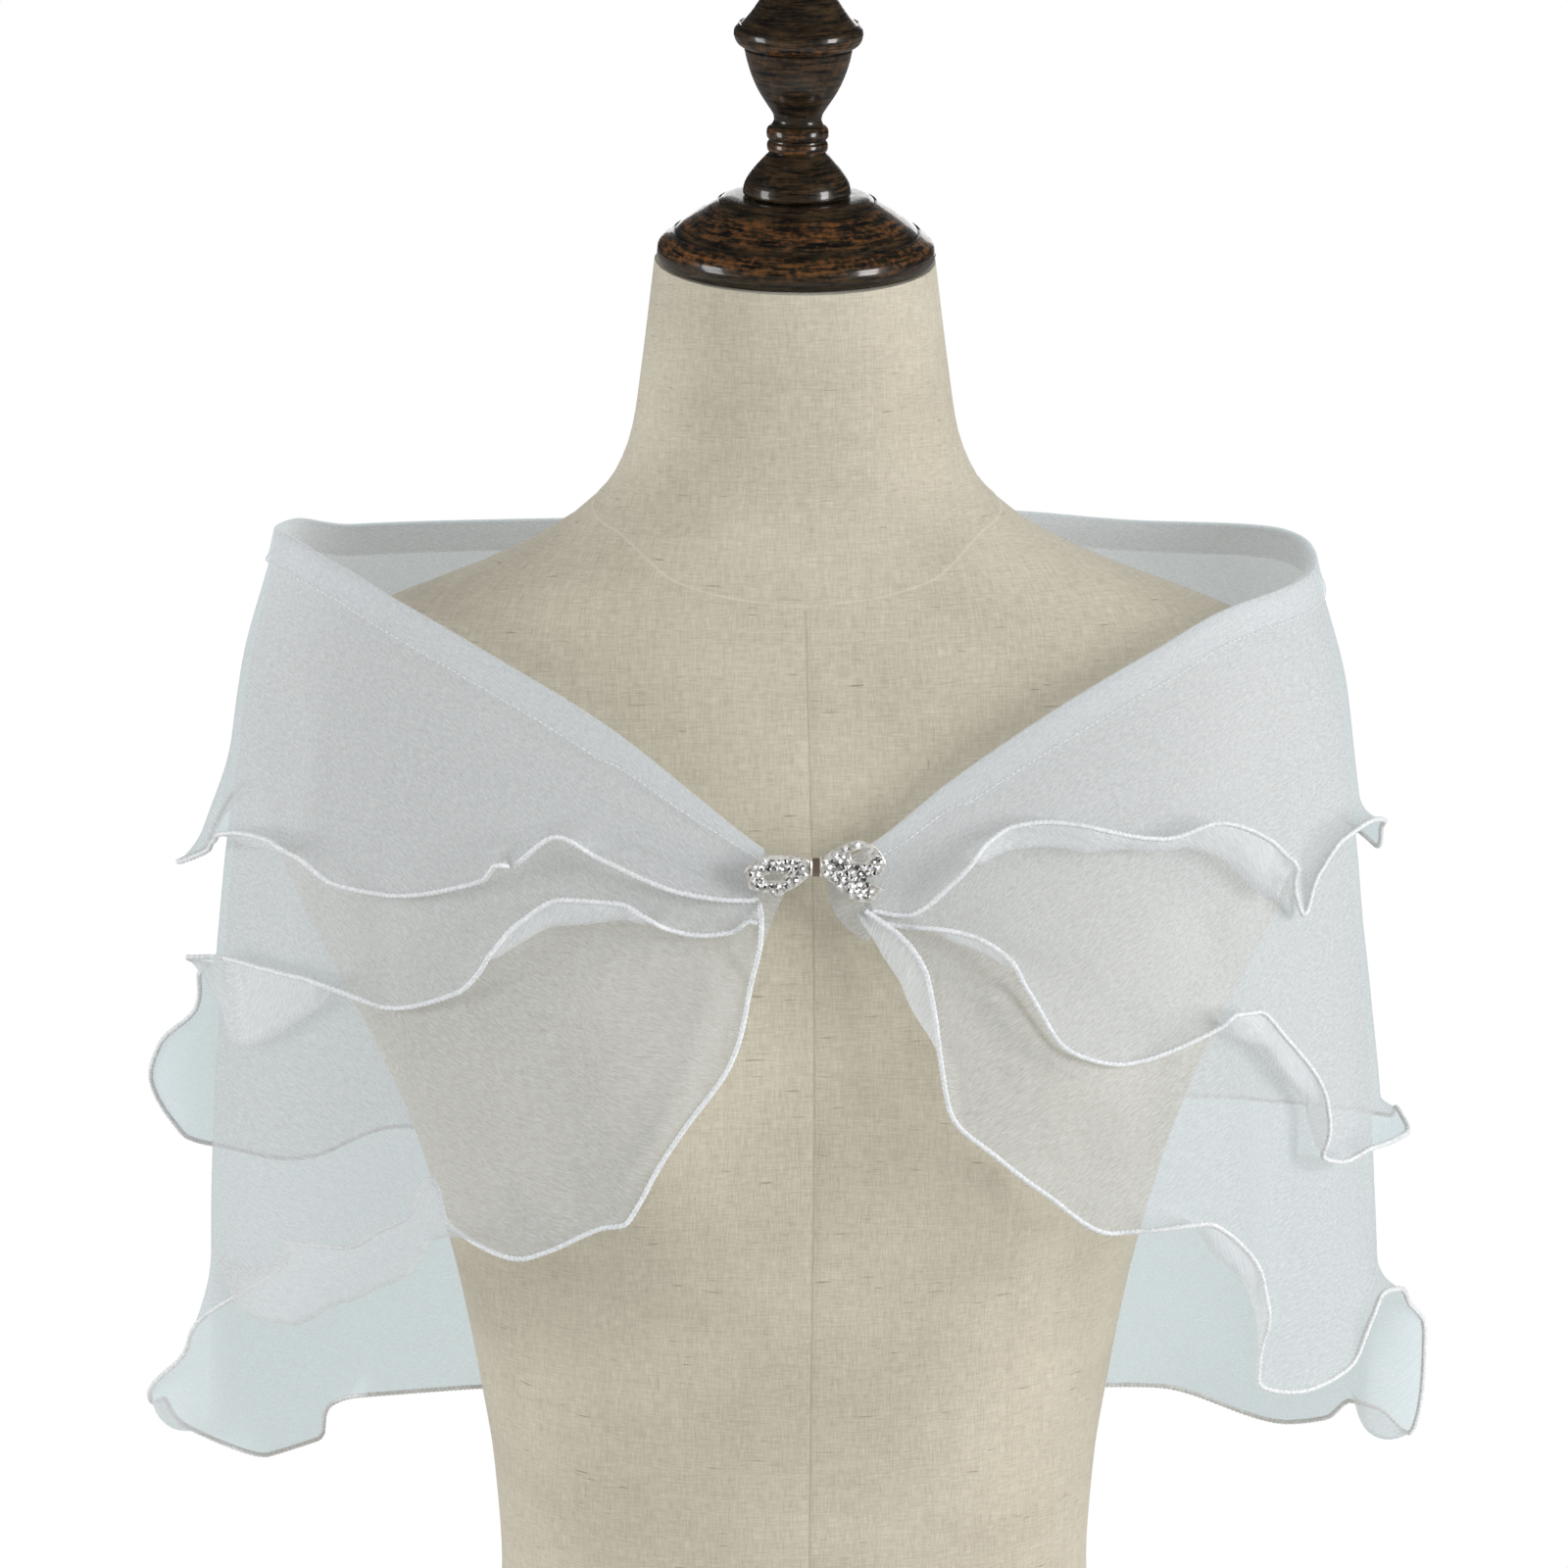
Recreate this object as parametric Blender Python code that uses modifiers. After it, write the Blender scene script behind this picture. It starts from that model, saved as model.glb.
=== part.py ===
"""Evening stole of three sheer tiers, closed by a bow clasp and shown on a dress form.

Metres, +Z up. The wearer's front faces -Y and the origin is the middle of the form's flat foot.
Lengths are written in millimetres and turned into metres as each mesh is made.
"turn" is the angle round the body in degrees: 0 is the front middle, 90 is the side at -X,
180 is the back middle and 270 is the side at +X.
"""

import math
from collections import namedtuple

import bmesh
import bpy
import numpy as np
from mathutils import Matrix, Vector

MM = 0.001
SEAM_GAP = 0.3  # between pieces that meet
SHARP_ANGLE = 40.0  # degrees between faces, from which an edge is shaded sharp
MERGE_DISTANCE = 0.05

# ---- cloth ----
WALL = 1.0  # thickness of a tier and of the band
SEAM_STEP = WALL + SEAM_GAP  # from one tier's middle to the next at the top seam
LOOSE_STEP = 3.0  # the same, where the tiers hang loose
LOOSE_DEPTH = 50.0  # below the top edge, where they have reached it
BAND_DEPTH = 11.0  # folded band along the top edge
FIRST_TURN, LAST_TURN = 10.0, 350.0  # the two ends, held by the clasp
STATIONS = 88  # equal steps along the top edge
ROLL_STEPS = 4  # steps along the rolled edge
LEAST_CURL, LEAST_FLAP = 1.0, 2.5  # degrees and millimetres that even a plain edge has
ROLL_SHARE, BAND_SHARE = 0.45, 0.4  # most of a line that its rolled edge and its band may take
SLOPE_TURN, SLOPE_HEIGHT = 0.5, 2.0  # half steps over which the surface's slope is taken

# ---- dress form ----
FORM_SIDES = 32
RING_GAP = 30.0  # sections further apart than this get a ring halfway between them
NECK_TOP = 733.0
NECK_LEAN = 9.5  # degrees that the neck's top leans forward
NECK_CENTRE_Y = -8.0
LEAN_START = 640.0
BUST_HEIGHT, BUST_SIDE, BUST_RISE = 426.0, 76.0, 26.0
BUST_SPREAD_X, BUST_SPREAD_Z = 40.0, 46.0
BUST_FADE = 2.5  # how soon the bust's rise is whole, going in from the side

# ---- clasp ----
CLASP_HEIGHT = 528.0
CLASP_Y = -116.0  # back faces of the bow's plates
CLASP_PLATE = 2.8
JAW_PLACE = (24.0, -105.2)  # middles of the bars behind the cloth, on each side
JAW_SIZE = (13.0, 1.4, 6.0)
JAW_TURN = 4.0  # degrees, along the cloth
KNOT_SIZE = (4.0, 4.4, 7.6)
KNOT_BEVEL, JAW_BEVEL = 1.0, 0.3

OvalRow = namedtuple("OvalRow", "height half_width front back")
CLOTH_OVAL = [  # the hanging cloth's outline from above, at several heights
    OvalRow(240, 221, 134, 99),
    OvalRow(340, 220, 135, 99),
    OvalRow(426, 216, 133, 98),
    OvalRow(510, 208, 113, 96),
    OvalRow(570, 201, 97, 95),
    OvalRow(632, 189, 80, 90),
    OvalRow(670, 181, 68, 87),
]
FRONT_ROUNDNESS, BACK_ROUNDNESS = 2.1, 2.6  # 2 is an ellipse, more is squarer

EdgeRow = namedtuple("EdgeRow", "turn height")
TOP_EDGE = [
    EdgeRow(10, 533), EdgeRow(22, 550), EdgeRow(37, 572), EdgeRow(55, 596),
    EdgeRow(68, 615), EdgeRow(77, 628), EdgeRow(86, 635), EdgeRow(100, 635),
    EdgeRow(110, 630), EdgeRow(136, 629), EdgeRow(180, 631), EdgeRow(225, 631),
    EdgeRow(243, 628), EdgeRow(258, 629), EdgeRow(267, 627), EdgeRow(276, 619),
    EdgeRow(290, 610), EdgeRow(300, 597), EdgeRow(311, 583), EdgeRow(323, 568),
    EdgeRow(335, 553), EdgeRow(350, 533),
]

# One row for each turning point of a tier's edge. "top" is the turn where the fold starts at the
# top edge, "turn" and "height" are where its edge ends. The cloth first rolls by "curl" degrees,
# inwards where that is negative, over a length "roll", and then runs straight for "flap". The roll
# leaves the fold's own line by "lean" degrees, and the edge stands off by "sway".
FoldRow = namedtuple("FoldRow", "top turn height curl roll flap lean sway")
TIER_SHORT = [
    FoldRow(10, 11.5, 515, 0, 20, 0, 0, 0), FoldRow(16, 15, 515, 5, 18, 0, 0, 0),
    FoldRow(22, 22.5, 517, 5, 18, 0, 0, 0), FoldRow(34, 36.5, 529, 20, 16, 0, 0, 0),
    FoldRow(40.5, 42, 535, 70, 12, 0, 0, 2), FoldRow(46, 47.5, 525, 20, 12, 0, 0, 0),
    FoldRow(48, 48.5, 525, 70, 10, 0, 0, 2), FoldRow(50, 50.5, 520, 10, 12, 0, 0, 0),
    FoldRow(61, 61, 513, 0, 14, 0, 0, 0), FoldRow(67, 66.5, 515, 20, 14, 0, 0, 0),
    FoldRow(72, 70, 523, 60, 12, 0, 0, 1), FoldRow(76, 73, 528, 150, 12, 2, 0, 1),
    FoldRow(80, 77, 529, 155, 12, 2, 0, 1), FoldRow(85, 84, 523, 40, 10, 0, 0, 0),
    FoldRow(88.5, 88, 517, 20, 12, 0, 0, 0), FoldRow(91, 91, 509, 40, 14, 0, 0, 9),
    FoldRow(93.5, 94, 513, 30, 14, 0, 0, 2), FoldRow(97, 98, 517, 40, 20, 0, 0, 1),
    FoldRow(110, 110, 531, 130, 26, 0, 0, 2), FoldRow(121, 121, 513, 15, 26, 0, 0, 0),
    FoldRow(136, 136, 530, 145, 26, 0, 0, 2), FoldRow(157, 157, 511, 15, 26, 0, 0, 0),
    FoldRow(182, 182, 529, 150, 26, 0, 0, 2), FoldRow(207, 207, 510, 10, 26, 0, 0, 0),
    FoldRow(225, 225, 531, 145, 26, 0, 0, 2), FoldRow(239, 239, 512, 15, 26, 0, 0, 0),
    FoldRow(250, 250, 527, 110, 24, 0, 0, 1), FoldRow(257, 257, 520, 40, 20, 0, 0, 0),
    FoldRow(263, 263, 513, 30, 18, 0, 0, 1), FoldRow(269, 268.5, 511, 50, 12, 0, 0, 0),
    FoldRow(274, 274, 523, 60, 12, 0, 0, 0), FoldRow(279.5, 280, 528, 70, 12, 0, 0, 0),
    FoldRow(283.5, 286, 524, 70, 14, 0, 0, 0), FoldRow(286.5, 289.5, 512, 40, 12, 0, 0, 0),
    FoldRow(288.5, 291, 499, 10, 10, 0, 0, 1), FoldRow(290, 293, 512, 70, 12, 3, 0, 0),
    FoldRow(292, 294.5, 522, 155, 12, 15, 0, 0), FoldRow(294, 295.5, 527, 160, 12, 17, 0, 0),
    FoldRow(300.5, 300.5, 535, 160, 12, 9, 0, 0), FoldRow(306, 306, 531, 150, 10, 1, 0, 0),
    FoldRow(321, 321.5, 539, 165, 12, 10.5, 0, 0), FoldRow(325, 325.5, 538, 165, 12, 12.5, 0, 0),
    FoldRow(330, 331, 531, 155, 12, 5, 0, 0), FoldRow(334, 334.5, 523, 60, 12, 0, 0, 1),
    FoldRow(344, 344.5, 509, 5, 16, 0, 0, 0), FoldRow(350, 350, 511, 0, 16, 0, 0, 0),
]
TIER_MIDDLE = [
    FoldRow(10, 11.5, 508, 0, 20, 0, 0, 0), FoldRow(15, 14.5, 504, 5, 14, 0, 0, 0),
    FoldRow(20, 19.5, 503, 5, 14, 0, 0, 0), FoldRow(25, 25, 505, 30, 10, 0, 0, 0),
    FoldRow(29, 28.5, 509, 130, 9, 0, 0, 0), FoldRow(32.5, 32, 513, 165, 9, 3, 0, 0),
    FoldRow(41, 40, 514, 165, 9, 6.5, 0, 0), FoldRow(48.5, 45.5, 504, 160, 9, 4.5, 0, 0),
    FoldRow(50.5, 47, 497, 140, 9, 2, 0, 0), FoldRow(52.5, 48.5, 489, 40, 10, 0, 0, 0),
    FoldRow(55, 51, 481, 10, 14, 0, 0, 0), FoldRow(64, 59, 474, 0, 16, 0, 0, 0),
    FoldRow(69, 63.5, 478, 60, 10, 0, 0, 0), FoldRow(73, 67, 481, 165, 10, 9, 0, 0),
    FoldRow(85, 78.5, 483, 172, 9, 29, 0, 0), FoldRow(87.5, 83, 477, 60, 8, 3, 0, 0),
    FoldRow(89, 88, 468, 50, 8, 3, 0, 0), FoldRow(90.5, 90, 458, 50, 10, 2, 0, 0),
    FoldRow(94.5, 92, 439, 100, 24, 4, 0, 0), FoldRow(96.5, 93.5, 426, 105, 26, 6, 0, 0),
    FoldRow(100.5, 97, 401, 80, 20, 2, 0, 0), FoldRow(103, 101, 393, 40, 22, 0, 0, 0),
    FoldRow(111, 110, 382, 10, 24, 0, 0, 0), FoldRow(121, 119, 389, 30, 26, 0, 0, 0),
    FoldRow(128, 127, 386, 10, 28, 0, 0, 0), FoldRow(140, 140, 403, 145, 28, 0, 0, 2),
    FoldRow(161, 161, 387, 10, 28, 0, 0, 0), FoldRow(186, 186, 404, 150, 28, 0, 0, 2),
    FoldRow(209, 209, 386, 10, 28, 0, 0, 0), FoldRow(225, 225, 400, 140, 28, 0, 0, 2),
    FoldRow(234, 234, 394, 20, 26, 0, 0, 0), FoldRow(242, 242, 397, 40, 26, 0, 0, 1),
    FoldRow(249, 249, 397, 60, 26, 0, 0, 1), FoldRow(262, 261, 402, 30, 22, 0, 0, 1),
    FoldRow(267, 266, 405, 50, 18, 0, 0, 1), FoldRow(270.5, 270.5, 412, 60, 14, 0, 0, 0),
    FoldRow(274, 278, 410, 60, 16, 0, 0, 1), FoldRow(278, 286.5, 412, 45, 18, 0, 0, 2),
    FoldRow(281.5, 289.5, 409, 30, 16, 0, 0, 1), FoldRow(285, 294, 415, 50, 14, 0, 0, 1),
    FoldRow(288, 293.5, 428, 120, 12, 2, 0, 0), FoldRow(296, 298, 460, 165, 11, 10, 0, 0),
    FoldRow(299, 300, 468, 165, 11, 9, 0, 0), FoldRow(302, 303, 468, 150, 11, 5, 0, 0),
    FoldRow(305, 305, 464, 60, 12, 0, 0, 0), FoldRow(315.5, 316, 455, 0, 18, 0, 0, 0),
    FoldRow(322, 323, 461, 0, 18, 0, 0, 0), FoldRow(329.5, 327.5, 483, 20, 12, 0, 0, 0),
    FoldRow(334.5, 330.5, 495, 150, 9, 2, 0, 0), FoldRow(340, 336, 502, 160, 9, 1.6, 0, 0),
    FoldRow(346.5, 344, 505, 30, 8, 0, 0, 0), FoldRow(350, 349, 507, 0, 10, 0, 0, 0),
]
TIER_LONG = [
    FoldRow(10, 8, 513, 10, 5, 3, -20, 0), FoldRow(13, 9, 510, 50, 8, 4, -50, 0),
    FoldRow(16.5, 9.5, 506, 110, 9, 3, -65, 0), FoldRow(20, 9.5, 501, 100, 8, 3, -60, 0),
    FoldRow(27, 11, 485, 5, 8, 0, -30, 0), FoldRow(30, 12, 471, 5, 10, 0, -20, 0),
    FoldRow(33.5, 13.5, 460, 5, 12, 0, 0, 0), FoldRow(40, 20, 437, 5, 14, 0, 0, 0),
    FoldRow(42.5, 23.5, 423, 5, 14, 0, 0, 0), FoldRow(44.5, 26.5, 408, 5, 14, 0, 0, 0),
    FoldRow(46.5, 28, 403, 10, 12, 0, 0, 0), FoldRow(49, 30.5, 402, 10, 12, 0, 0, 0),
    FoldRow(54, 38, 392, 0, 12, 0, 0, 0), FoldRow(57, 41.5, 389, 0, 12, 0, 0, 0),
    FoldRow(63.5, 51.5, 397, -120, 9, 7, 0, 0), FoldRow(67.5, 54.5, 412, -158, 9, 25, 0, 0),
    FoldRow(70, 56, 399, -165, 9, 19, 0, 0), FoldRow(73, 59.5, 392, -165, 9, 18.5, 0, 0),
    FoldRow(76, 63.5, 384, -165, 9, 17.5, 0, 0), FoldRow(79, 70, 381, -165, 9, 27, 0, 0),
    FoldRow(83, 77.5, 377, -155, 10, 26, 0, 0), FoldRow(85, 81, 370, -120, 11, 20, 0, 0),
    FoldRow(90.5, 88.5, 337, 15, 13, 14, 0, 0), FoldRow(92.5, 90, 323, 35, 14, 11, 0, 0),
    FoldRow(96.5, 94, 300, 160, 30, 4, 0, 2), FoldRow(100, 97, 297, 165, 30, 4, 0, 2),
    FoldRow(103, 100.5, 281, 110, 28, 3, 0, 1), FoldRow(107, 105.5, 267, 10, 26, 0, 0, 0),
    FoldRow(111, 111, 269, 10, 26, 0, 0, 0), FoldRow(113.5, 113.5, 277, 70, 26, 0, 0, 1),
    FoldRow(117, 116, 283, 20, 26, 0, 0, 0), FoldRow(125, 125, 283, 10, 26, 0, 0, 0),
    FoldRow(133, 133, 281, 40, 28, 0, 0, 0), FoldRow(146, 146, 291, 145, 30, 0, 0, 2),
    FoldRow(168, 168, 276, 10, 30, 0, 0, 0), FoldRow(192, 192, 292, 150, 30, 0, 0, 2),
    FoldRow(214, 214, 277, 10, 30, 0, 0, 0), FoldRow(225, 225, 286, 100, 30, 0, 0, 1),
    FoldRow(234, 234, 279, 20, 28, 0, 0, 0), FoldRow(242, 241, 280, 20, 28, 0, 0, 0),
    FoldRow(254, 252, 271, 20, 24, 0, 0, 0), FoldRow(259, 257, 276, 30, 24, 0, 0, 0),
    FoldRow(261.5, 260, 286, 40, 20, 0, 0, 0), FoldRow(263.5, 262.5, 284, 80, 22, 0, 0, 0),
    FoldRow(265.5, 264.5, 277, 110, 26, 0, 0, 1), FoldRow(267.5, 266, 290, 125, 30, 0, 0, 0),
    FoldRow(271.5, 269.5, 326, 125, 27, 0, 0, 0), FoldRow(273.5, 273, 340, 80, 16, 0, 0, 1),
    FoldRow(275.5, 278.5, 351, 60, 14, 0, 0, 2), FoldRow(277.5, 283, 354, 50, 14, 0, 0, 2),
    FoldRow(279.5, 285.5, 347, 40, 14, 0, 0, 3), FoldRow(284, 288.5, 331, 20, 16, 0, 0, 3),
    FoldRow(289, 294.5, 326, 5, 16, 0, 0, 2), FoldRow(293.5, 300, 332, 0, 14, 0, 0, 0),
    FoldRow(298, 300.5, 347, 30, 9, 0, 0, 0), FoldRow(302, 301, 367, 155, 9, 5, 0, 0),
    FoldRow(304, 301.5, 375, 165, 9, 8, 0, 0), FoldRow(308, 306, 393, 165, 9, 9, 0, 0),
    FoldRow(310, 308.5, 397, 125, 9, 4, 0, 0), FoldRow(318, 318, 395, 0, 14, 0, 0, 0),
    FoldRow(327, 328, 413, 5, 14, 0, 0, 0), FoldRow(330, 333.5, 425, 5, 14, 0, 0, 0),
    FoldRow(335, 340, 441, 10, 8, 3, 20, 0), FoldRow(339, 341.5, 460, 85, 9, 3, 60, 0),
    FoldRow(344.5, 342, 486, 160, 9, 7, 80, 0), FoldRow(347.3, 345, 500, 160, 10, 8, 80, 0),
    FoldRow(350, 351.5, 511, 120, 8, 5, 80, 0),
]

# Each tier: its folds, its place in the stack counted outwards, how many steps it has above the
# roll, and where along it the sway begins.
Tier = namedtuple("Tier", "name folds layer body_steps sway_start")
TIERS = [
    Tier("tier_short", TIER_SHORT, 2, 3, 0.6),
    Tier("tier_middle", TIER_MIDDLE, 1, 4, 0.75),
    Tier("tier_long", TIER_LONG, 0, 5, 0.75),
]

FormRow = namedtuple("FormRow", "height half_width front back")
FORM_SECTIONS = [
    FormRow(0, 157, 104, 117), FormRow(45, 161, 107, 120), FormRow(100, 152, 104, 112),
    FormRow(160, 133, 97, 95), FormRow(205, 117, 90, 83), FormRow(240, 111.5, 87, 78),
    FormRow(280, 114, 89, 78), FormRow(313, 119, 93, 80), FormRow(357, 127.5, 99, 84),
    FormRow(408, 142, 108, 89), FormRow(440, 155, 111, 92), FormRow(470, 170, 110, 94),
    FormRow(502, 186, 105, 94), FormRow(530, 195, 97, 93), FormRow(556, 199, 86, 91),
    FormRow(576, 198.3, 76, 87), FormRow(592, 189, 69, 82), FormRow(603, 167, 65, 78),
    FormRow(612, 145, 62, 75), FormRow(622, 118, 60, 70), FormRow(632, 96, 58, 65),
    FormRow(642, 80, 57, 59), FormRow(655, 67, 57, 54), FormRow(672, 60, 58, 50),
    FormRow(694, 56.5, 59.5, 47), FormRow(NECK_TOP, 51.5, 60, 44),
]

ProfileRow = namedtuple("ProfileRow", "radius height")
CAP_PROFILE = [  # down the outside, from the flat where the finial sits to the foot
    ProfileRow(20.6, 25.0), ProfileRow(24.0, 24.9), ProfileRow(27.0, 24.2), ProfileRow(28.3, 22.8),
    ProfileRow(31.0, 21.6), ProfileRow(34.4, 19.8), ProfileRow(38.2, 17.4), ProfileRow(41.8, 14.8),
    ProfileRow(44.2, 11.9), ProfileRow(47.2, 10.9), ProfileRow(49.9, 8.2), ProfileRow(51.0, 4.8),
    ProfileRow(50.2, 1.8), ProfileRow(48.6, 0.0),
]
FINIAL_PROFILE = [  # down the outside, from the knob to the ball that sits on the cap
    ProfileRow(4.6, 96.7), ProfileRow(9.0, 94.1), ProfileRow(11.0, 89.3), ProfileRow(9.8, 84.1),
    ProfileRow(7.8, 80.7), ProfileRow(8.6, 78.2), ProfileRow(11.6, 74.4), ProfileRow(14.4, 70.7),
    ProfileRow(17.2, 66.7), ProfileRow(20.6, 62.6), ProfileRow(23.0, 61.2), ProfileRow(23.6, 58.8),
    ProfileRow(22.8, 56.2), ProfileRow(19.6, 53.4), ProfileRow(18.0, 46.3), ProfileRow(14.5, 38.1),
    ProfileRow(11.4, 33.2), ProfileRow(8.9, 28.4), ProfileRow(8.8, 27.2), ProfileRow(10.9, 25.0),
    ProfileRow(11.4, 22.8), ProfileRow(10.7, 20.1), ProfileRow(11.2, 17.8), ProfileRow(10.4, 15.6),
    ProfileRow(13.9, 11.9), ProfileRow(17.2, 8.0), ProfileRow(19.2, 4.2), ProfileRow(19.8, 0.9),
    ProfileRow(19.2, 0.0),
]
CAP_STEPS, FINIAL_STEPS = 24, 16

PlateRow = namedtuple("PlateRow", "across up")
BOW_LEFT = [
    PlateRow(-2.4, 2.6), PlateRow(-8.3, 4.4), PlateRow(-14.2, 4.7), PlateRow(-19.3, 3.7),
    PlateRow(-23.0, 1.3), PlateRow(-25.2, -1.4), PlateRow(-24.0, -4.2), PlateRow(-23.2, -7.4),
    PlateRow(-18.6, -8.2), PlateRow(-13.8, -10.4), PlateRow(-10.6, -8.4), PlateRow(-6.4, -6.2),
    PlateRow(-2.4, -2.6),
]
BOW_LEFT_SLOT = [
    PlateRow(-11.6, -2.4), PlateRow(-15.4, -1.8), PlateRow(-18.6, -2.6), PlateRow(-17.4, -4.4),
    PlateRow(-12.8, -4.2),
]
BOW_RIGHT = [
    PlateRow(2.4, 2.6), PlateRow(5.6, 5.8), PlateRow(11.0, 8.6), PlateRow(15.6, 9.6),
    PlateRow(20.2, 7.8), PlateRow(23.2, 4.6), PlateRow(24.6, 0.8), PlateRow(22.6, -2.8),
    PlateRow(17.6, -4.8), PlateRow(24.2, -8.2), PlateRow(21.2, -9.6), PlateRow(20.2, -12.4),
    PlateRow(15.2, -12.2), PlateRow(10.0, -9.6), PlateRow(5.8, -5.6), PlateRow(2.4, -2.6),
]
BOW_RIGHT_SLOT = [
    PlateRow(12.4, 2.8), PlateRow(12.4, 5.6), PlateRow(15.4, 6.6), PlateRow(18.0, 5.4),
    PlateRow(18.4, 3.0), PlateRow(15.8, 1.6),
]


# ---------------------------------------------------------------- tools


def smooth_curve(places, values):
    """A curve through the values with no overshoot between them."""
    x = np.asarray(places, float)
    y = np.asarray(values, float)
    step = np.diff(x)
    slope = np.diff(y) / step
    tangent = np.zeros_like(y)
    tangent[0], tangent[-1] = slope[0], slope[-1]
    for i in range(1, len(y) - 1):
        if slope[i - 1] * slope[i] > 0:
            tangent[i] = 2 * slope[i - 1] * slope[i] / (slope[i - 1] + slope[i])

    def at(place):
        i = int(np.clip(np.searchsorted(x, place) - 1, 0, len(step) - 1))
        t = (min(max(place, x[0]), x[-1]) - x[i]) / step[i]
        rise = t * t * (3 - 2 * t)
        return float(
            y[i] * (1 - rise)
            + y[i + 1] * rise
            + step[i] * (tangent[i] * t * (1 - t) ** 2 - tangent[i + 1] * t * t * (1 - t))
        )

    return at


def column_curves(rows, key):
    """A smooth curve for every column of a table, against the column named key."""
    places = [getattr(row, key) for row in rows]
    names = [name for name in rows[0]._fields if name != key]
    return {name: smooth_curve(places, [getattr(row, name) for row in rows]) for name in names}


def ease(t):
    t = min(max(t, 0.0), 1.0)
    return t * t * (3 - 2 * t)


def make_material(name, colour, roughness, metallic=0.0):
    material = bpy.data.materials.new(name)
    material.use_nodes = True
    shader = material.node_tree.nodes["Principled BSDF"]
    shader.inputs["Base Color"].default_value = (*colour, 1.0)
    shader.inputs["Roughness"].default_value = roughness
    shader.inputs["Metallic"].default_value = metallic
    return material


def add_object(name, data, material, smooth=True):
    obj = bpy.data.objects.new(name, data)
    PART.objects.link(obj)
    data.materials.append(material)
    if smooth and obj.type == "MESH":
        data.shade_smooth()
        data.set_sharp_from_angle(angle=math.radians(SHARP_ANGLE))
    return obj


def grid_mesh(name, rows):
    """An open sheet through rows of points."""
    sheet = bmesh.new()
    verts = [[sheet.verts.new(Vector(p) * MM) for p in row] for row in rows]
    for upper, lower in zip(verts, verts[1:]):
        for i in range(len(upper) - 1):
            sheet.faces.new((upper[i], lower[i], lower[i + 1], upper[i + 1]))
    mesh = bpy.data.meshes.new(name)
    sheet.to_mesh(mesh)
    sheet.free()
    return mesh


def thicken(obj, thickness):
    wall = obj.modifiers.new("wall", "SOLIDIFY")
    wall.thickness = thickness * MM
    wall.offset = 0.0
    wall.use_rim = True


# ---------------------------------------------------------------- dress form

form_curves = column_curves(FORM_SECTIONS, "height")


def form_point(angle, height):
    """A point of the form's skin. The angle runs from the front middle, as turn does."""
    across, ahead = math.sin(angle), math.cos(angle)
    half_width = form_curves["half_width"](height)
    depth = form_curves["front" if ahead > 0 else "back"](height)
    x, y = -half_width * across, -depth * ahead
    if ahead > 0:
        side = (abs(x) - BUST_SIDE) / BUST_SPREAD_X
        rise = (height - BUST_HEIGHT) / BUST_SPREAD_Z
        y -= BUST_RISE * math.exp(-side * side - rise * rise) * min(1.0, BUST_FADE * ahead)
    lean = ease((height - LEAN_START) / (NECK_TOP - LEAN_START))
    drop = (y - NECK_CENTRE_Y) * math.tan(math.radians(NECK_LEAN)) * lean
    return Vector((x, y, height + drop))


def ring_heights():
    """The sections' heights, with one halfway wherever two lie far apart."""
    heights = [FORM_SECTIONS[0].height]
    for lower, upper in zip(FORM_SECTIONS, FORM_SECTIONS[1:]):
        if upper.height - lower.height > RING_GAP:
            heights.append((lower.height + upper.height) / 2)
        heights.append(upper.height)
    return heights


def build_torso():
    angles = [math.tau * i / FORM_SIDES for i in range(FORM_SIDES)]
    loft = bmesh.new()
    rings = []
    for height in ring_heights():
        rings.append([loft.verts.new(form_point(a, height) * MM) for a in angles])
    for lower, upper in zip(rings, rings[1:]):
        for i in range(FORM_SIDES):
            j = (i + 1) % FORM_SIDES
            loft.faces.new((lower[i], upper[i], upper[j], lower[j]))
    loft.faces.new(rings[0])
    loft.faces.new(list(reversed(rings[-1])))
    mesh = bpy.data.meshes.new("form_torso")
    loft.to_mesh(mesh)
    loft.free()
    add_object("form_torso", mesh, LINEN)


def build_turned(name, profile, steps, base):
    """A turned piece on the leaning neck axis, base millimetres above the neck's top."""
    mesh = bpy.data.meshes.new(name)
    points = [ProfileRow(0.0, profile[0].height), *profile, ProfileRow(0.0, profile[-1].height)]
    verts = [(row.radius * MM, 0.0, row.height * MM) for row in points]
    mesh.from_pydata(verts, [(i, i + 1) for i in range(len(verts) - 1)], [])
    obj = add_object(name, mesh, WOOD, smooth=False)
    turn = obj.modifiers.new("turned", "SCREW")
    turn.steps = turn.render_steps = steps
    turn.use_merge_vertices = True
    turn.merge_threshold = MERGE_DISTANCE * MM
    lean = math.radians(NECK_LEAN)
    axis = Vector((0, -math.sin(lean), math.cos(lean)))
    obj.location = (Vector((0, NECK_CENTRE_Y, NECK_TOP)) + axis * base) * MM
    obj.rotation_euler = (lean, 0, 0)
    return obj


# ---------------------------------------------------------------- stole

oval_curves = column_curves(CLOTH_OVAL, "height")
top_height = smooth_curve([row.turn for row in TOP_EDGE], [row.height for row in TOP_EDGE])


def on_oval(turn, height):
    """A point of the smooth surface that the tiers follow."""
    angle = math.radians(turn)
    across, ahead = -math.sin(angle), -math.cos(angle)
    half_width = oval_curves["half_width"](height)
    in_front = ahead < 0
    depth = oval_curves["front" if in_front else "back"](height)
    power = FRONT_ROUNDNESS if in_front else BACK_ROUNDNESS
    share = (abs(across) / half_width) ** power + (abs(ahead) / depth) ** power
    reach = share ** (-1 / power)
    return Vector((reach * across, reach * ahead, height))


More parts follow.
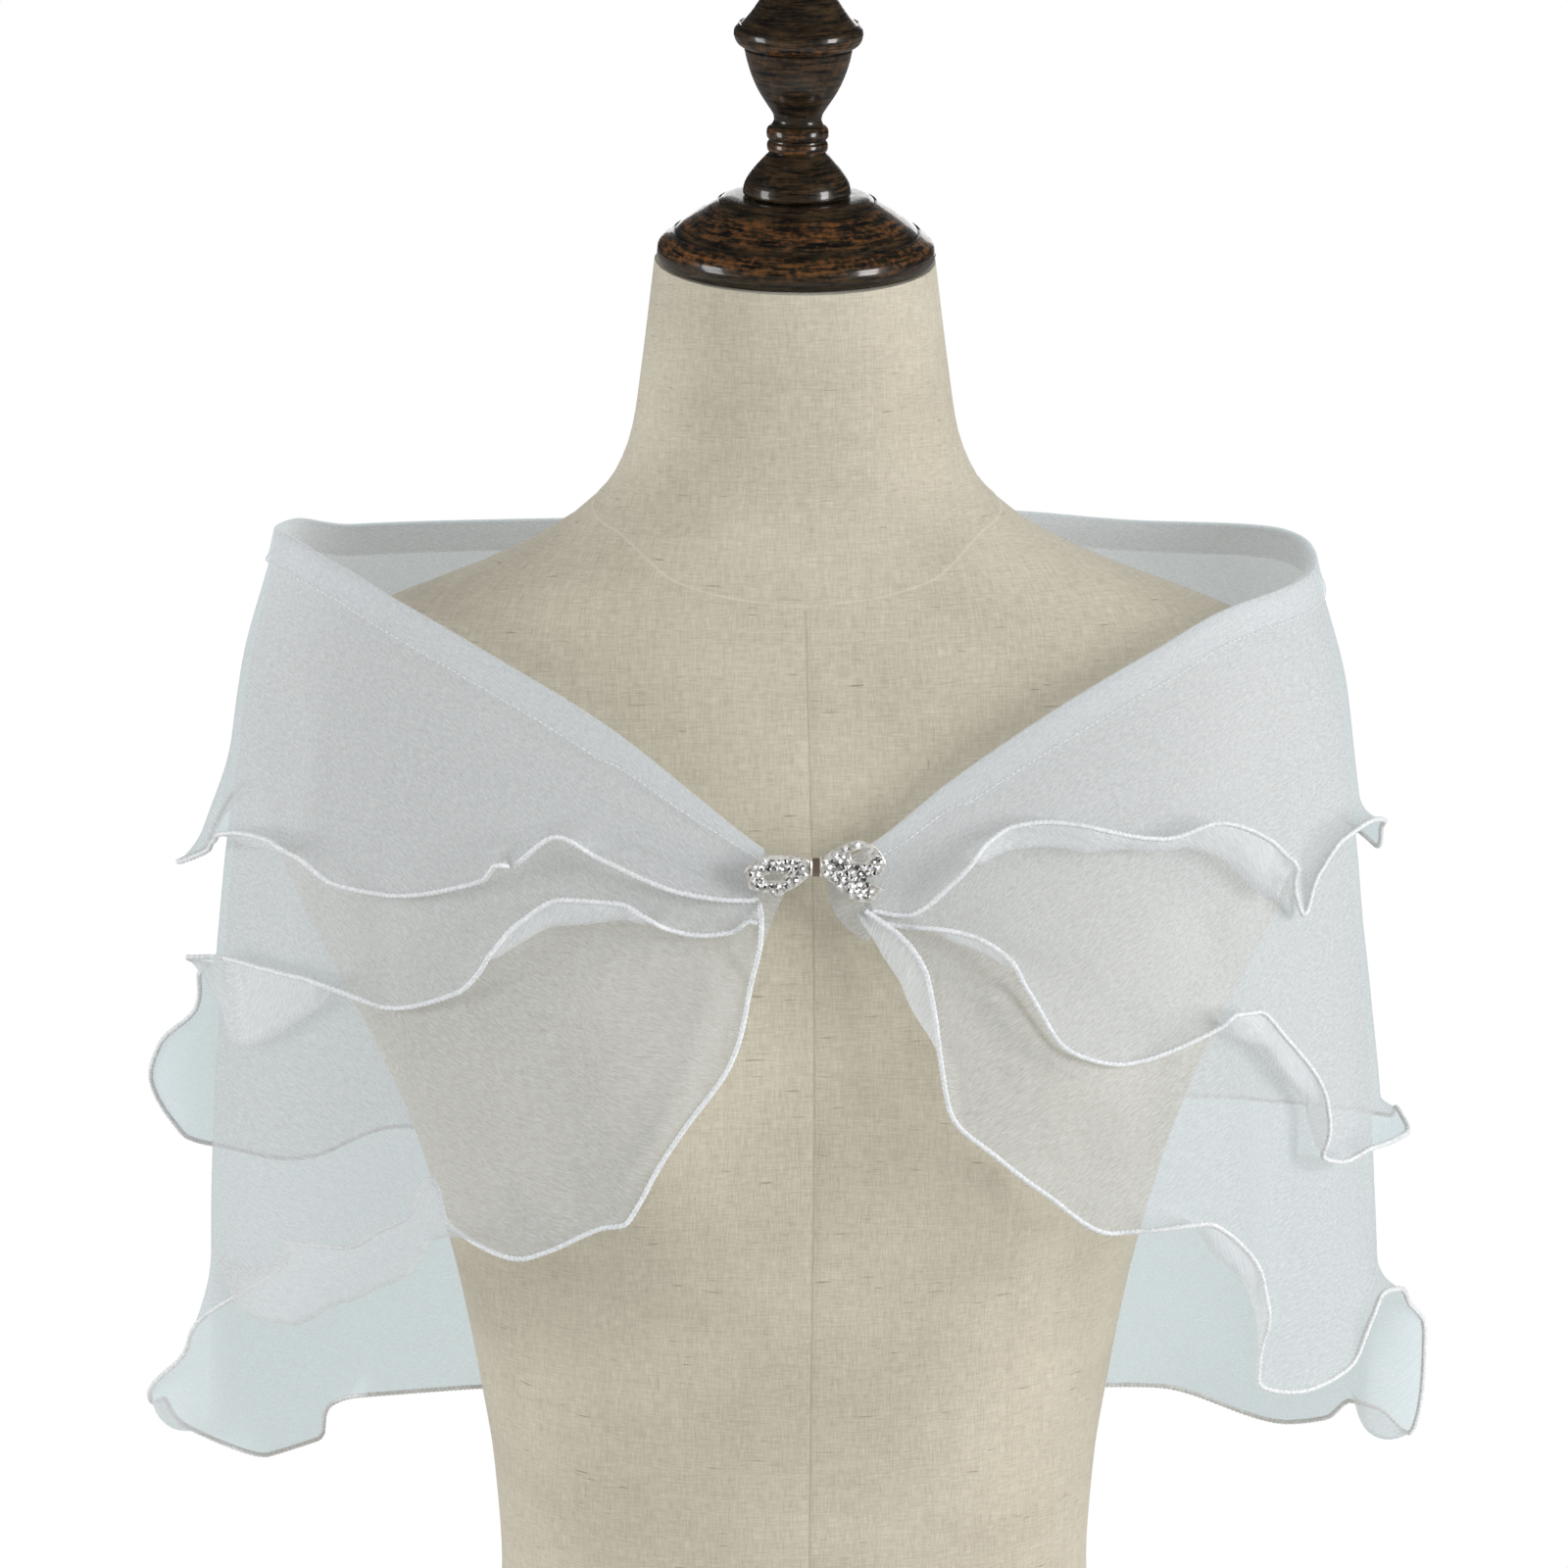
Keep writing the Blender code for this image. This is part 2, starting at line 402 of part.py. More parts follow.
def outward(turn, height):
    """The direction straight out of that surface."""
    along = on_oval(turn + SLOPE_TURN, height) - on_oval(turn - SLOPE_TURN, height)
    down = on_oval(turn, height - SLOPE_HEIGHT) - on_oval(turn, height + SLOPE_HEIGHT)
    return along.cross(down).normalized()


def cloth_point(layer, turn, height, stand):
    """A point of a tier's middle, standing off by so many millimetres."""
    depth = top_height(turn) - height
    step = SEAM_STEP + (LOOSE_STEP - SEAM_STEP) * ease(depth / LOOSE_DEPTH)
    return on_oval(turn, height) + outward(turn, height) * (layer * step + stand)


def station_turns():
    """Where the tiers' lines start: equal steps along the top edge, the same for every tier."""
    samples = 4 * STATIONS
    turns = np.linspace(FIRST_TURN, LAST_TURN, samples)
    points = [on_oval(turn, top_height(turn)) for turn in turns]
    reach = np.cumsum([0.0] + [(b - a).length for a, b in zip(points, points[1:])])
    return [float(t) for t in np.interp(np.linspace(0, reach[-1], STATIONS + 1), reach, turns)]


def tier_line(tier, folds, top_turn):
    """The points of one line of a tier, from the top edge down and round its rolled edge."""
    top = top_height(top_turn)
    row = {name: curve(top_turn) for name, curve in folds.items()}
    side = -1.0 if row["curl"] < 0 else 1.0
    curl = math.radians(max(abs(row["curl"]), LEAST_CURL))
    edge_wide = on_oval(row["turn"] + SLOPE_TURN, row["height"])
    edge_wide -= on_oval(row["turn"] - SLOPE_TURN, row["height"])
    wide = edge_wide.length / (2 * SLOPE_TURN)  # millimetres for a degree, at the edge
    across, rise = (row["turn"] - top_turn) * wide, row["height"] - top
    length = math.hypot(across, rise)
    fit = min(1.0, ROLL_SHARE * length / (row["roll"] + max(row["flap"], LEAST_FLAP)))
    roll, flap = row["roll"] * fit, max(row["flap"], LEAST_FLAP) * fit
    radius = roll / curl

    # where the roll starts, so that the cloth's edge ends in its place
    lean = math.atan2(rise, across) + math.radians(row["lean"])
    reach = radius * math.sin(curl) + flap * math.cos(curl)
    turn = row["turn"] - math.cos(lean) * reach / wide
    height = row["height"] - math.sin(lean) * reach
    whole = math.hypot((turn - top_turn) * wide, height - top)
    total = whole + roll + flap

    band = min(BAND_DEPTH, BAND_SHARE * whole) / whole
    shares = [0.0] + [band + (1 - band) * i / tier.body_steps for i in range(tier.body_steps)]
    places = [(whole * share, share, 0.0, 0.0) for share in shares]
    for i in range(ROLL_STEPS + 1):
        angle = curl * i / ROLL_STEPS
        out = radius * (1 - math.cos(angle))
        places.append((whole + roll * i / ROLL_STEPS, 1.0, radius * math.sin(angle), out))
    places.append((total, 1.0, reach, radius * (1 - math.cos(curl)) + flap * math.sin(curl)))
    line = []
    for run, share, ahead, out in places:
        here = top_turn + (turn - top_turn) * share + math.cos(lean) * ahead / wide
        down = top + (height - top) * share + math.sin(lean) * ahead
        sway = row["sway"] * ease((run / total - tier.sway_start) / (1 - tier.sway_start))
        line.append(cloth_point(tier.layer, here, down, side * out + sway))
    return line


def build_stole():
    turns = station_turns()
    for tier in TIERS:
        folds = column_curves(tier.folds, "top")
        lines = [tier_line(tier, folds, turn) for turn in turns]
        rows = list(zip(*lines))
        wall = add_object(tier.name, grid_mesh(tier.name, rows), CLOTH)
        thicken(wall, WALL)
        if tier.layer == len(TIERS) - 1:
            build_band(turns, rows[:2])


def build_band(turns, top_rows):
    """The folded band: the outer tier's first rows, moved out."""
    rows = [
        [point + outward(turn, point.z) * SEAM_STEP for point, turn in zip(row, turns)]
        for row in top_rows
    ]
    band = add_object("top_band", grid_mesh("top_band", rows), CLOTH)
    thicken(band, WALL)


# ---------------------------------------------------------------- clasp


def build_plate(name, outline, slot):
    """A flat plate of the bow, with an open slot."""
    curve = bpy.data.curves.new(name, "CURVE")
    curve.dimensions = "2D"
    curve.fill_mode = "BOTH"
    curve.extrude = CLASP_PLATE / 2 * MM
    for rows in (outline, slot):
        spline = curve.splines.new("POLY")
        spline.points.add(len(rows) - 1)
        for point, row in zip(spline.points, rows):
            point.co = (row.across * MM, row.up * MM, 0.0, 1.0)
        spline.use_cyclic_u = True
    plate = add_object(name, curve, SILVER)
    plate.location = (0, (CLASP_Y - CLASP_PLATE / 2) * MM, CLASP_HEIGHT * MM)
    plate.rotation_euler = (math.radians(90), 0, 0)


def build_block(name, centre, size, bevel, turn=0.0):
    bpy.ops.mesh.primitive_cube_add(size=1, location=Vector(centre) * MM)
    block = bpy.context.active_object
    block.name = block.data.name = name
    block.data.transform(Matrix.Diagonal((*(Vector(size) * MM), 1.0)))
    block.rotation_euler = (0, 0, math.radians(turn))
    rounding = block.modifiers.new("rounding", "BEVEL")
    rounding.width = bevel * MM
    rounding.segments = 2
    for owner in list(block.users_collection):
        owner.objects.unlink(block)
    PART.objects.link(block)
    block.data.materials.append(SILVER)


def build_clasp():
    build_plate("clasp_bow_left", BOW_LEFT, BOW_LEFT_SLOT)
    build_plate("clasp_bow_right", BOW_RIGHT, BOW_RIGHT_SLOT)
    knot_y = CLASP_Y - CLASP_PLATE / 2
    build_block("clasp_knot", (0, knot_y, CLASP_HEIGHT), KNOT_SIZE, KNOT_BEVEL)
    across, ahead = JAW_PLACE
    for name, side in (("clasp_jaw_left", -1), ("clasp_jaw_right", 1)):
        place = (side * across, ahead, CLASP_HEIGHT)
        build_block(name, place, JAW_SIZE, JAW_BEVEL, turn=side * JAW_TURN)


# ---------------------------------------------------------------- the part

for old in list(bpy.data.objects):
    bpy.data.objects.remove(old, do_unlink=True)
PART = bpy.data.collections.new("evening_stole")
bpy.context.scene.collection.children.link(PART)
CLOTH = make_material("sheer_cloth", (0.86, 0.88, 0.90), 0.75)
LINEN = make_material("linen", (0.70, 0.64, 0.53), 0.9)
WOOD = make_material("dark_wood", (0.09, 0.05, 0.03), 0.3)
SILVER = make_material("silver", (0.82, 0.82, 0.80), 0.25, metallic=1.0)

build_torso()
build_turned("form_neck_cap", CAP_PROFILE, CAP_STEPS, SEAM_GAP)
build_turned("form_finial", FINIAL_PROFILE, FINIAL_STEPS, CAP_PROFILE[0].height + 2 * SEAM_GAP)
build_stole()
build_clasp()
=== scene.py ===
import math

import bmesh
import bpy
import numpy as np
from mathutils import Matrix, Vector


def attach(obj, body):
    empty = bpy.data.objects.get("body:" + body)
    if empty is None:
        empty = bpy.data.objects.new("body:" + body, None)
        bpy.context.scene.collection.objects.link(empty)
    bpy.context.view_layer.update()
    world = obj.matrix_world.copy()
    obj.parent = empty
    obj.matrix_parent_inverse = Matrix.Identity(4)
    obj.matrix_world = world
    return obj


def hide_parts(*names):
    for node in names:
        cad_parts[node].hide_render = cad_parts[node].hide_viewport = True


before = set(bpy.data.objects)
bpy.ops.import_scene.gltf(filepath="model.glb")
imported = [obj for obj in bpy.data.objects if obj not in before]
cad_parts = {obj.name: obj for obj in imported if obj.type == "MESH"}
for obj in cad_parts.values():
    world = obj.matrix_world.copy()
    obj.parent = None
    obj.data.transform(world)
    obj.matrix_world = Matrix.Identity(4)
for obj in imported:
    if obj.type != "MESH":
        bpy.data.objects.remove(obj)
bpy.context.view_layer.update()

mm = 0.001  # tables are in millimetres, meshes in metres


# small tools

def selectOnly(piece=None):
    bpy.ops.object.select_all(action="DESELECT")
    if piece:
        piece.select_set(True)
        bpy.context.view_layer.objects.active = piece


def takeActive(name):
    piece = bpy.context.active_object
    piece.name = piece.data.name = name
    return piece


def primitive(name, add, **settings):
    selectOnly()
    add(**settings)
    return takeActive(name)


def smoothByAngle(piece, degrees):
    selectOnly(piece)
    bpy.ops.object.shade_smooth_by_angle(angle=math.radians(degrees))


def newObject(name, data):
    piece = bpy.data.objects.new(name, data)
    bpy.context.scene.collection.objects.link(piece)
    return piece


def newMesh(name, points, faces, smooth=True):
    # points in millimetres
    mesh = bpy.data.meshes.new(name)
    mesh.from_pydata((np.asarray(points, float) * mm).tolist(), [], faces)
    if smooth:
        mesh.shade_smooth()
    return newObject(name, mesh)


def setNumber(piece, name, values, domain="POINT"):
    # a number for each vertex or face, for the material to read
    attribute = piece.data.attributes.new(name, "FLOAT", domain)
    attribute.data.foreach_set("value", np.asarray(values, np.float32))


def paint(piece, material):
    piece.data.materials.clear()
    piece.data.materials.append(material)


def dress(piece, material, slot, *nodes):
    # gives a finished piece its finish and its place in the frame
    paint(piece, material)
    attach(piece, "root")
    if nodes:
        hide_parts(*nodes)


def table(rows):
    # a row may leave out the zeros at its end
    width = max(map(len, rows))
    return np.array([row + (0,) * (width - len(row)) for row in rows], float)


def ease(t):
    t = np.clip(t, 0, 1)
    return t * t * (3 - 2 * t)


def bent(first, last, fromSlope, toSlope, t):
    # a curve from first to last, with a slope given at each end
    rise = t * t * (3 - 2 * t)
    return first * (1 - rise) + last * rise + fromSlope * t * (1 - t) ** 2 - toSlope * t * t * (1 - t)


def smoothCurve(x, y):
    # through the values with no overshoot; takes numbers or arrays
    step = np.diff(x)
    slope = np.diff(y) / step
    tangent = np.zeros(len(y))
    tangent[0], tangent[-1] = slope[0], slope[-1]
    product = slope[:-1] * slope[1:]
    total = np.where(product > 0, slope[:-1] + slope[1:], 1)
    tangent[1:-1] = np.where(product > 0, 2 * product / total, 0)

    def at(place):
        place = np.clip(np.asarray(place, float), x[0], x[-1])
        i = np.clip(np.searchsorted(x, place) - 1, 0, len(step) - 1)
        return bent(y[i], y[i + 1], step[i] * tangent[i], step[i] * tangent[i + 1], (place - x[i]) / step[i])

    return at


def curvesOf(rows):
    # a curve for each column of a table, over its first column
    columns = table(rows).T
    return [smoothCurve(columns[0], column) for column in columns[1:]]


def reachAlong(points):
    # how far each point is from the first one, along the path
    steps = np.linalg.norm(np.diff(points, axis=0), axis=-1)
    return np.concatenate([np.zeros_like(steps[:1]), np.cumsum(steps, 0)])


def evenPath(points, step):
    reach = reachAlong(points)
    places = np.linspace(0, reach[-1], max(2, int(reach[-1] / step) + 1))
    return np.stack([np.interp(places, reach, axis) for axis in points.T], 1), places


def gridFaces(rows, columns, closed=False):
    # closed joins the last column to the first
    return [
        (r * columns + c, r * columns + (c + 1) % columns, (r + 1) * columns + (c + 1) % columns,
         (r + 1) * columns + c)
        for r in range(rows - 1) for c in range(columns if closed else columns - 1)
    ]


# material tools

def connect(tree, socket, value):
    # a value or another node's output; colours are given without alpha
    if isinstance(value, bpy.types.NodeSocket):
        tree.links.new(value, socket)
    else:
        socket.default_value = (*value, 1) if socket.type == "RGBA" else value


def node(tree, kind, inputs=None, **settings):
    made = tree.nodes.new(kind)
    for name, value in settings.items():
        setattr(made, name, value)
    for name, value in (inputs or {}).items():
        connect(tree, made.inputs[name], value)
    return made


def maths(tree, operation, *values):
    return node(tree, "ShaderNodeMath", dict(enumerate(values)), operation=operation).outputs[0]


def spread(tree, value, low, high, toLow=0, toHigh=1):
    # maps low..high to toLow..toHigh and stops at both ends
    names = {"Value": value, "From Min": low, "From Max": high, "To Min": toLow, "To Max": toHigh}
    return node(tree, "ShaderNodeMapRange", names).outputs["Result"]


def mixColour(tree, share, first, second):
    return node(tree, "ShaderNodeMix", {0: share, 6: first, 7: second}, data_type="RGBA").outputs[2]


def mapped(tree, place, **values):
    return node(tree, "ShaderNodeMapping", {"Vector": place, **values}).outputs[0]


def noise(tree, place, scale, detail=2, **values):
    values = {"Vector": place, "Scale": scale, "Detail": detail, **values}
    return node(tree, "ShaderNodeTexNoise", values).outputs["Fac"]


def bump(tree, height, strength, distance):
    values = {"Height": height, "Strength": strength, "Distance": distance}
    return node(tree, "ShaderNodeBump", values).outputs[0]


def numberOf(tree, name):
    return node(tree, "ShaderNodeAttribute", attribute_name=name).outputs["Fac"]


def ownPlace(tree):
    return node(tree, "ShaderNodeTexCoord").outputs["Object"]


def feed(tree, **values):
    # to the shader's own sockets, with _ for a space in their names
    for label, value in values.items():
        connect(tree, tree.nodes["Principled BSDF"].inputs[label.replace("_", " ")], value)


def newMaterial(name, **values):
    material = bpy.data.materials.new(name)
    material.use_nodes = True
    feed(material.node_tree, **values)
    return material, material.node_tree


crepeShape = {"turn": 1.35, "stretch": (1, 0.3, 1), "threads": 2900, "crinkles": 1500, "share": 0.45}


def weaveGroup():
    # crinkled crepe: wandering threads, broken up by grain
    shape = crepeShape
    group = bpy.data.node_groups.new("crepeWeave", "ShaderNodeTree")
    group.interface.new_socket("Vector", in_out="INPUT", socket_type="NodeSocketVector")
    group.interface.new_socket("Scale", in_out="INPUT", socket_type="NodeSocketFloat")
    group.interface.new_socket("Height", in_out="OUTPUT", socket_type="NodeSocketFloat")
    given = group.nodes.new("NodeGroupInput").outputs
    place = mapped(group, mapped(group, given["Vector"], Rotation=(0, 0, shape["turn"])), Scale=shape["stretch"])
    fine, coarse = (maths(group, "MULTIPLY", given["Scale"], shape[name]) for name in ("threads", "crinkles"))
    threads = spread(group, noise(group, place, fine, Roughness=0.6), 0.32, 0.68)
    crinkles = spread(group, noise(group, place, coarse, 1, Distortion=0.7), 0.3, 0.7)
    height = maths(group, "MULTIPLY_ADD", threads, shape["share"], crinkles)
    connect(group, group.nodes.new("NodeGroupOutput").inputs["Height"], height)
    return group


crepeWeave = weaveGroup()


def sheerMaterial(name, colour, opacity, threadShare):
    # opacity is one layer's, threadShare how far the threads change it
    paintedThroughGlow, shadeDepth, darkening = 0.21, 0.4, 0.86
    material, tree = newMaterial(name, Roughness=0.62, Sheen_Weight=0.35, Sheen_Roughness=0.45,
                                 Emission_Strength=paintedThroughGlow)
    uv = node(tree, "ShaderNodeUVMap", uv_map="cloth").outputs[0]
    height = node(tree, "ShaderNodeGroup", {"Vector": uv, "Scale": 1}, node_tree=crepeWeave).outputs["Height"]
    # painted shade: the cloth is darker where the weave is low, so the crinkles' troughs are shaded in along with
    # the threads' own tone
    darker = [c * darkening for c in colour]
    alpha = spread(tree, height, 0.2, 1.2, opacity - threadShare, opacity + threadShare)
    # painted glow: the inner side glows faintly in the cloth's colour, standing in for the light that comes
    # through from outside
    inner = node(tree, "ShaderNodeNewGeometry").outputs["Backfacing"]
    # more light gets through the open weave than the eye sees through it
    path = node(tree, "ShaderNodeLightPath").outputs
    lighting = maths(tree, "MAXIMUM", path["Is Shadow Ray"], path["Is Diffuse Ray"])
    held = spread(tree, lighting, 0, 1, 1, shadeDepth)
    feed(tree, Base_Color=mixColour(tree, spread(tree, height, 0.3, 1.15), darker, colour),
         Emission_Color=mixColour(tree, inner, (0, 0, 0), colour), Alpha=maths(tree, "MULTIPLY", alpha, held),
         Normal=bump(tree, height, 0.22, 0.0003))
    return material


def threadMaterial():
    # white sewing thread, with its twist
    material, tree = newMaterial("whiteThread", Roughness=0.55, Sheen_Weight=0.3)
    grain = noise(tree, ownPlace(tree), 900, 1)
    feed(tree, Base_Color=mixColour(tree, spread(tree, grain, 0.35, 0.65), (0.72, 0.75, 0.77), (0.9, 0.92, 0.93)),
         Normal=bump(tree, grain, 0.3, 0.0003))
    return material


def linenMaterial():
    # plain weave with uneven threads, brown slubs and stitched seams
    look = {"pale": (0.715, 0.664, 0.54), "deep": (0.418, 0.376, 0.288), "slub": (0.25, 0.185, 0.12),
            "seam": (0.26, 0.19, 0.14), "piping": (0.74, 0.7, 0.6)}
    threadShare, coarseShare, evenShade = 0.8, 0.24, -0.14
    material, tree = newMaterial("linenCloth", Roughness=0.88, Sheen_Weight=0.15)
    uv = node(tree, "ShaderNodeUVMap", uv_map="cloth").outputs[0]

    def streaks(across, along, *limits, detail=2):
        # noise drawn out along one direction; the first two numbers are cells for each metre
        return spread(tree, noise(tree, mapped(tree, uv, Scale=(across, along, 1)), 1, detail), *limits)

    weft, warp = streaks(190, 1500, 0.25, 0.75), streaks(1500, 190, 0.25, 0.75)
    threads = maths(tree, "MULTIPLY", maths(tree, "ADD", weft, warp), 0.5)
    coarse = maths(tree, "ADD", streaks(34, 520, 0.3, 0.7, 0, 0.5), streaks(430, 30, 0.3, 0.7, 0, 0.5))
    coarse = maths(tree, "ADD", coarse, streaks(11, 17, 0.35, 0.65))
    coarse = maths(tree, "MULTIPLY_ADD", coarse, coarseShare, evenShade)
    weftSlub = streaks(75, 800, 0.71, 0.79, 0, 0.62, detail=1)
    warpSlub = streaks(900, 80, 0.75, 0.83, 0, 0.45, detail=1)
    shade = maths(tree, "MULTIPLY_ADD", threads, threadShare, coarse)
    colour = mixColour(tree, shade, look["deep"], look["pale"])
    seam = numberOf(tree, "seam")
    sewn = spread(tree, seam, 0.62, 0.95, 0, 0.36)
    line = maths(tree, "MULTIPLY", sewn, spread(tree, weft, 0.1, 0.6, 0.4, 1))
    piped = spread(tree, seam, -0.95, -0.45, 0.6, 0)
    for share, tint in ((weftSlub, "slub"), (warpSlub, "slub"), (line, "seam"), (piped, "piping")):
        colour = mixColour(tree, share, colour, look[tint])
    height = maths(tree, "MULTIPLY_ADD", weftSlub, 0.8, threads)
    feed(tree, Base_Color=colour, Normal=bump(tree, height, 0.5, 0.0004))
    return material


def woodMaterial():
    # dark stain, rubbed to orange brown on the high turnings, under a glossy coat
    look = {"dark": (0.005, 0.004, 0.0035), "brown": (0.046, 0.031, 0.014), "rubbed": (0.21, 0.078, 0.02)}
    material, tree = newMaterial("darkWood", Coat_Roughness=0.1, Specular_IOR_Level=0.25)
    upright = mapped(tree, ownPlace(tree), Rotation=(-neckLean, 0, 0))
    ringed = mapped(tree, upright, Scale=(85, 85, 850))
    grain = noise(tree, ringed, 1, 4, Roughness=0.65, Distortion=0.4)
    fleck = noise(tree, upright, 420)
    base = mixColour(tree, spread(tree, grain, 0.38, 0.66), look["dark"], look["brown"])
    patchy = maths(tree, "MULTIPLY_ADD", grain, 1.3, fleck)
    rubbed = maths(tree, "MULTIPLY", spread(tree, patchy, 1.08, 1.5), numberOf(tree, "wear"))
    feed(tree, Base_Color=mixColour(tree, rubbed, base, look["rubbed"]),
         Roughness=spread(tree, fleck, 0.3, 0.7, 0.24, 0.42), Coat_Weight=spread(tree, grain, 0.3, 0.7, 0.5, 0.8),
         Normal=bump(tree, grain, 0.12, 0.0004))
    return material


def silverMaterial():
    # bright plate, dull in spots, with painted shade: the knot's sunken middle is painted dark brown
    look = {"dull": (0.5, 0.47, 0.42), "bright": (0.95, 0.94, 0.9), "hollowShade": (0.2, 0.15, 0.11)}
    material, tree = newMaterial("silverPlate", Metallic=0.35)
    tarnish = noise(tree, ownPlace(tree), 700)
    colour = mixColour(tree, spread(tree, tarnish, 0.35, 0.6), look["dull"], look["bright"])
    feed(tree, Base_Color=mixColour(tree, numberOf(tree, "recessShade"), colour, look["hollowShade"]),
         Roughness=spread(tree, tarnish, 0.35, 0.65, 0.3, 0.14))
    return material


def stoneMaterial():
    # clear foiled stones with painted sparkle: each facet is painted from near black to white at random, and the
    # brightest also glow, standing in for the light that the foil throws back
    material, tree = newMaterial("clearStone", Metallic=0.1, Roughness=0.08, Coat_Weight=1, Emission_Strength=0.4)
    paintedSparkle = numberOf(tree, "paintedSparkle")
    feed(tree, Base_Color=mixColour(tree, paintedSparkle, (0.012, 0.012, 0.013), (0.98, 0.985, 1)),
         Emission_Color=mixColour(tree, spread(tree, paintedSparkle, 0.6, 1), (0, 0, 0), (1, 1, 1)))
    return material


# the dress form

torsoShape = {
    "sections": [  # height, half width, front depth, back depth
        (0, 157, 104, 117), (45, 161, 107, 120), (100, 152, 104, 112), (160, 133, 97, 95), (205, 117, 90, 83),
        (240, 111.5, 87, 78), (280, 114, 89, 78), (313, 119, 93, 80), (357, 127.5, 99, 84), (408, 142, 108, 89),
        (440, 155, 111, 92), (470, 170, 110, 94), (502, 186, 105, 94), (530, 195, 97, 93), (556, 199, 86, 91),
        (576, 198.3, 76, 87), (592, 189, 69, 82), (603, 167, 65, 78), (612, 145, 62, 75), (622, 118, 60, 70),
        (632, 96, 58, 65), (642, 80, 57, 59), (655, 67, 57, 54), (672, 60, 58, 50), (694, 56.5, 59.5, 47),
        (733, 51.5, 60, 44),
    ],
    "neckTop": 733, "neckLean": 9.5, "leanStart": 640, "neckCentreY": -8,
    "bustHeight": 426, "bustSide": 76, "bustRise": 26, "bustFade": 2.5,
    "bustSpreadX": 40, "bustSpreadZ": 46,
    "frontSeam": [  # height, degrees from the front
        (0, 44), (160, 42), (262, 40), (297, 38.5), (336, 36), (377, 32.5), (398, 31), (426, 29.6), (470, 30),
        (560, 38), (733, 45),
    ],
    "backSeam": [(0, 141), (240, 142), (426, 138), (560, 135), (733, 130)],
    "neckSeam": [  # degrees from the front, height
        (0, 613), (10, 615.5), (16, 618), (23.5, 622), (30.5, 627), (40, 633), (50, 637.5), (63.5, 641),
        (90, 648), (130, 660), (180, 668),
    ],
    "neckSeamLevel": 613, "neckSeamStart": 500,
    "seamFade": {"centre": 760, "front": 505, "side": 560, "back": 560}, "seamFadeOver": 60,
    "seamDepth": 0.4, "seamHalf": 1.3,
    "neckSeamStrength": -0.8, "sideSeamStrength": 0.55,  # minus for a piped seam, which stands out
    "columnsBetween": 21, "ringsBelow": 82, "ringsAbove": 16, "smoothAngle": 60,
}

halfWidthAt, frontDepthAt, backDepthAt = curvesOf(torsoShape["sections"])
neckSeamAt = curvesOf(torsoShape["neckSeam"])[0]
neckLean = math.radians(torsoShape["neckLean"])


def formPoints(angle, height):
    # the form's skin; the angle is in radians from the front middle, towards -X
    shape = torsoShape
    ahead = np.cos(angle)
    x = -halfWidthAt(height) * np.sin(angle)
    y = -np.where(ahead > 0, frontDepthAt(height), backDepthAt(height)) * ahead
    side = (np.abs(x) - shape["bustSide"]) / shape["bustSpreadX"]
    rise = (height - shape["bustHeight"]) / shape["bustSpreadZ"]
    share = np.clip(shape["bustFade"] * ahead, 0, 1)
    y = y - shape["bustRise"] * np.exp(-side * side - rise * rise) * share
    lean = ease((height - shape["leanStart"]) / (shape["neckTop"] - shape["leanStart"]))
    return np.stack([x, y, height + (y - shape["neckCentreY"]) * math.tan(neckLean) * lean], -1)


def torsoGrid():
    # angles, heights and seam strength for every ring and column
    shape = torsoShape
    half, level, top, start = (shape[name] for name in ("seamHalf", "neckSeamLevel", "neckTop", "neckSeamStart"))
    below = np.linspace(0, level - half, shape["ringsBelow"])
    above = np.linspace(level + half, top, shape["ringsAbove"])
    rings = np.concatenate([below, [level], above])
    front, back = (curvesOf(shape[seam])[0](rings) for seam in ("frontSeam", "backSeam"))
    middle = np.zeros_like(rings)
    marks = [middle - 180, -back, middle - 90, -front, middle, front, middle + 90, back, middle + 180]
    seams = ("centre", "back", "side", "front", "centre", "front", "side", "back")
    reach = np.degrees(half / halfWidthAt(rings))
    inner = np.linspace(0, 1, shape["columnsBetween"] + 2)
    angles, strength = [], []
    for seam, mark, following in zip(seams, marks, marks[1:]):
        fromEdge, toEdge = mark + reach, following - reach
        angles += [mark, *(fromEdge + (toEdge - fromEdge) * t for t in inner)]
        share = 1 if seam == "centre" else shape["sideSeamStrength"]
        faded = ease((shape["seamFade"][seam] - rings) / shape["seamFadeOver"]) * share
        strength += [faded] + [middle] * len(inner)
    angles, strength = np.radians(np.stack(angles, 1)), np.stack(strength, 1)
    # the ring at the neck seam follows the seam, and the rings near it lean with it
    rings = rings[:, None]
    seamHeight = neckSeamAt(np.degrees(np.abs(angles)))
    up = rings + (seamHeight - level) * ease((rings - start) / (level - start))
    over = seamHeight + (rings - level) / (top - level) * (top - seamHeight)
    strength[len(below):] = 0
    strength[len(below)] = shape["neckSeamStrength"]
    return angles, np.where(rings <= level, up, over), strength


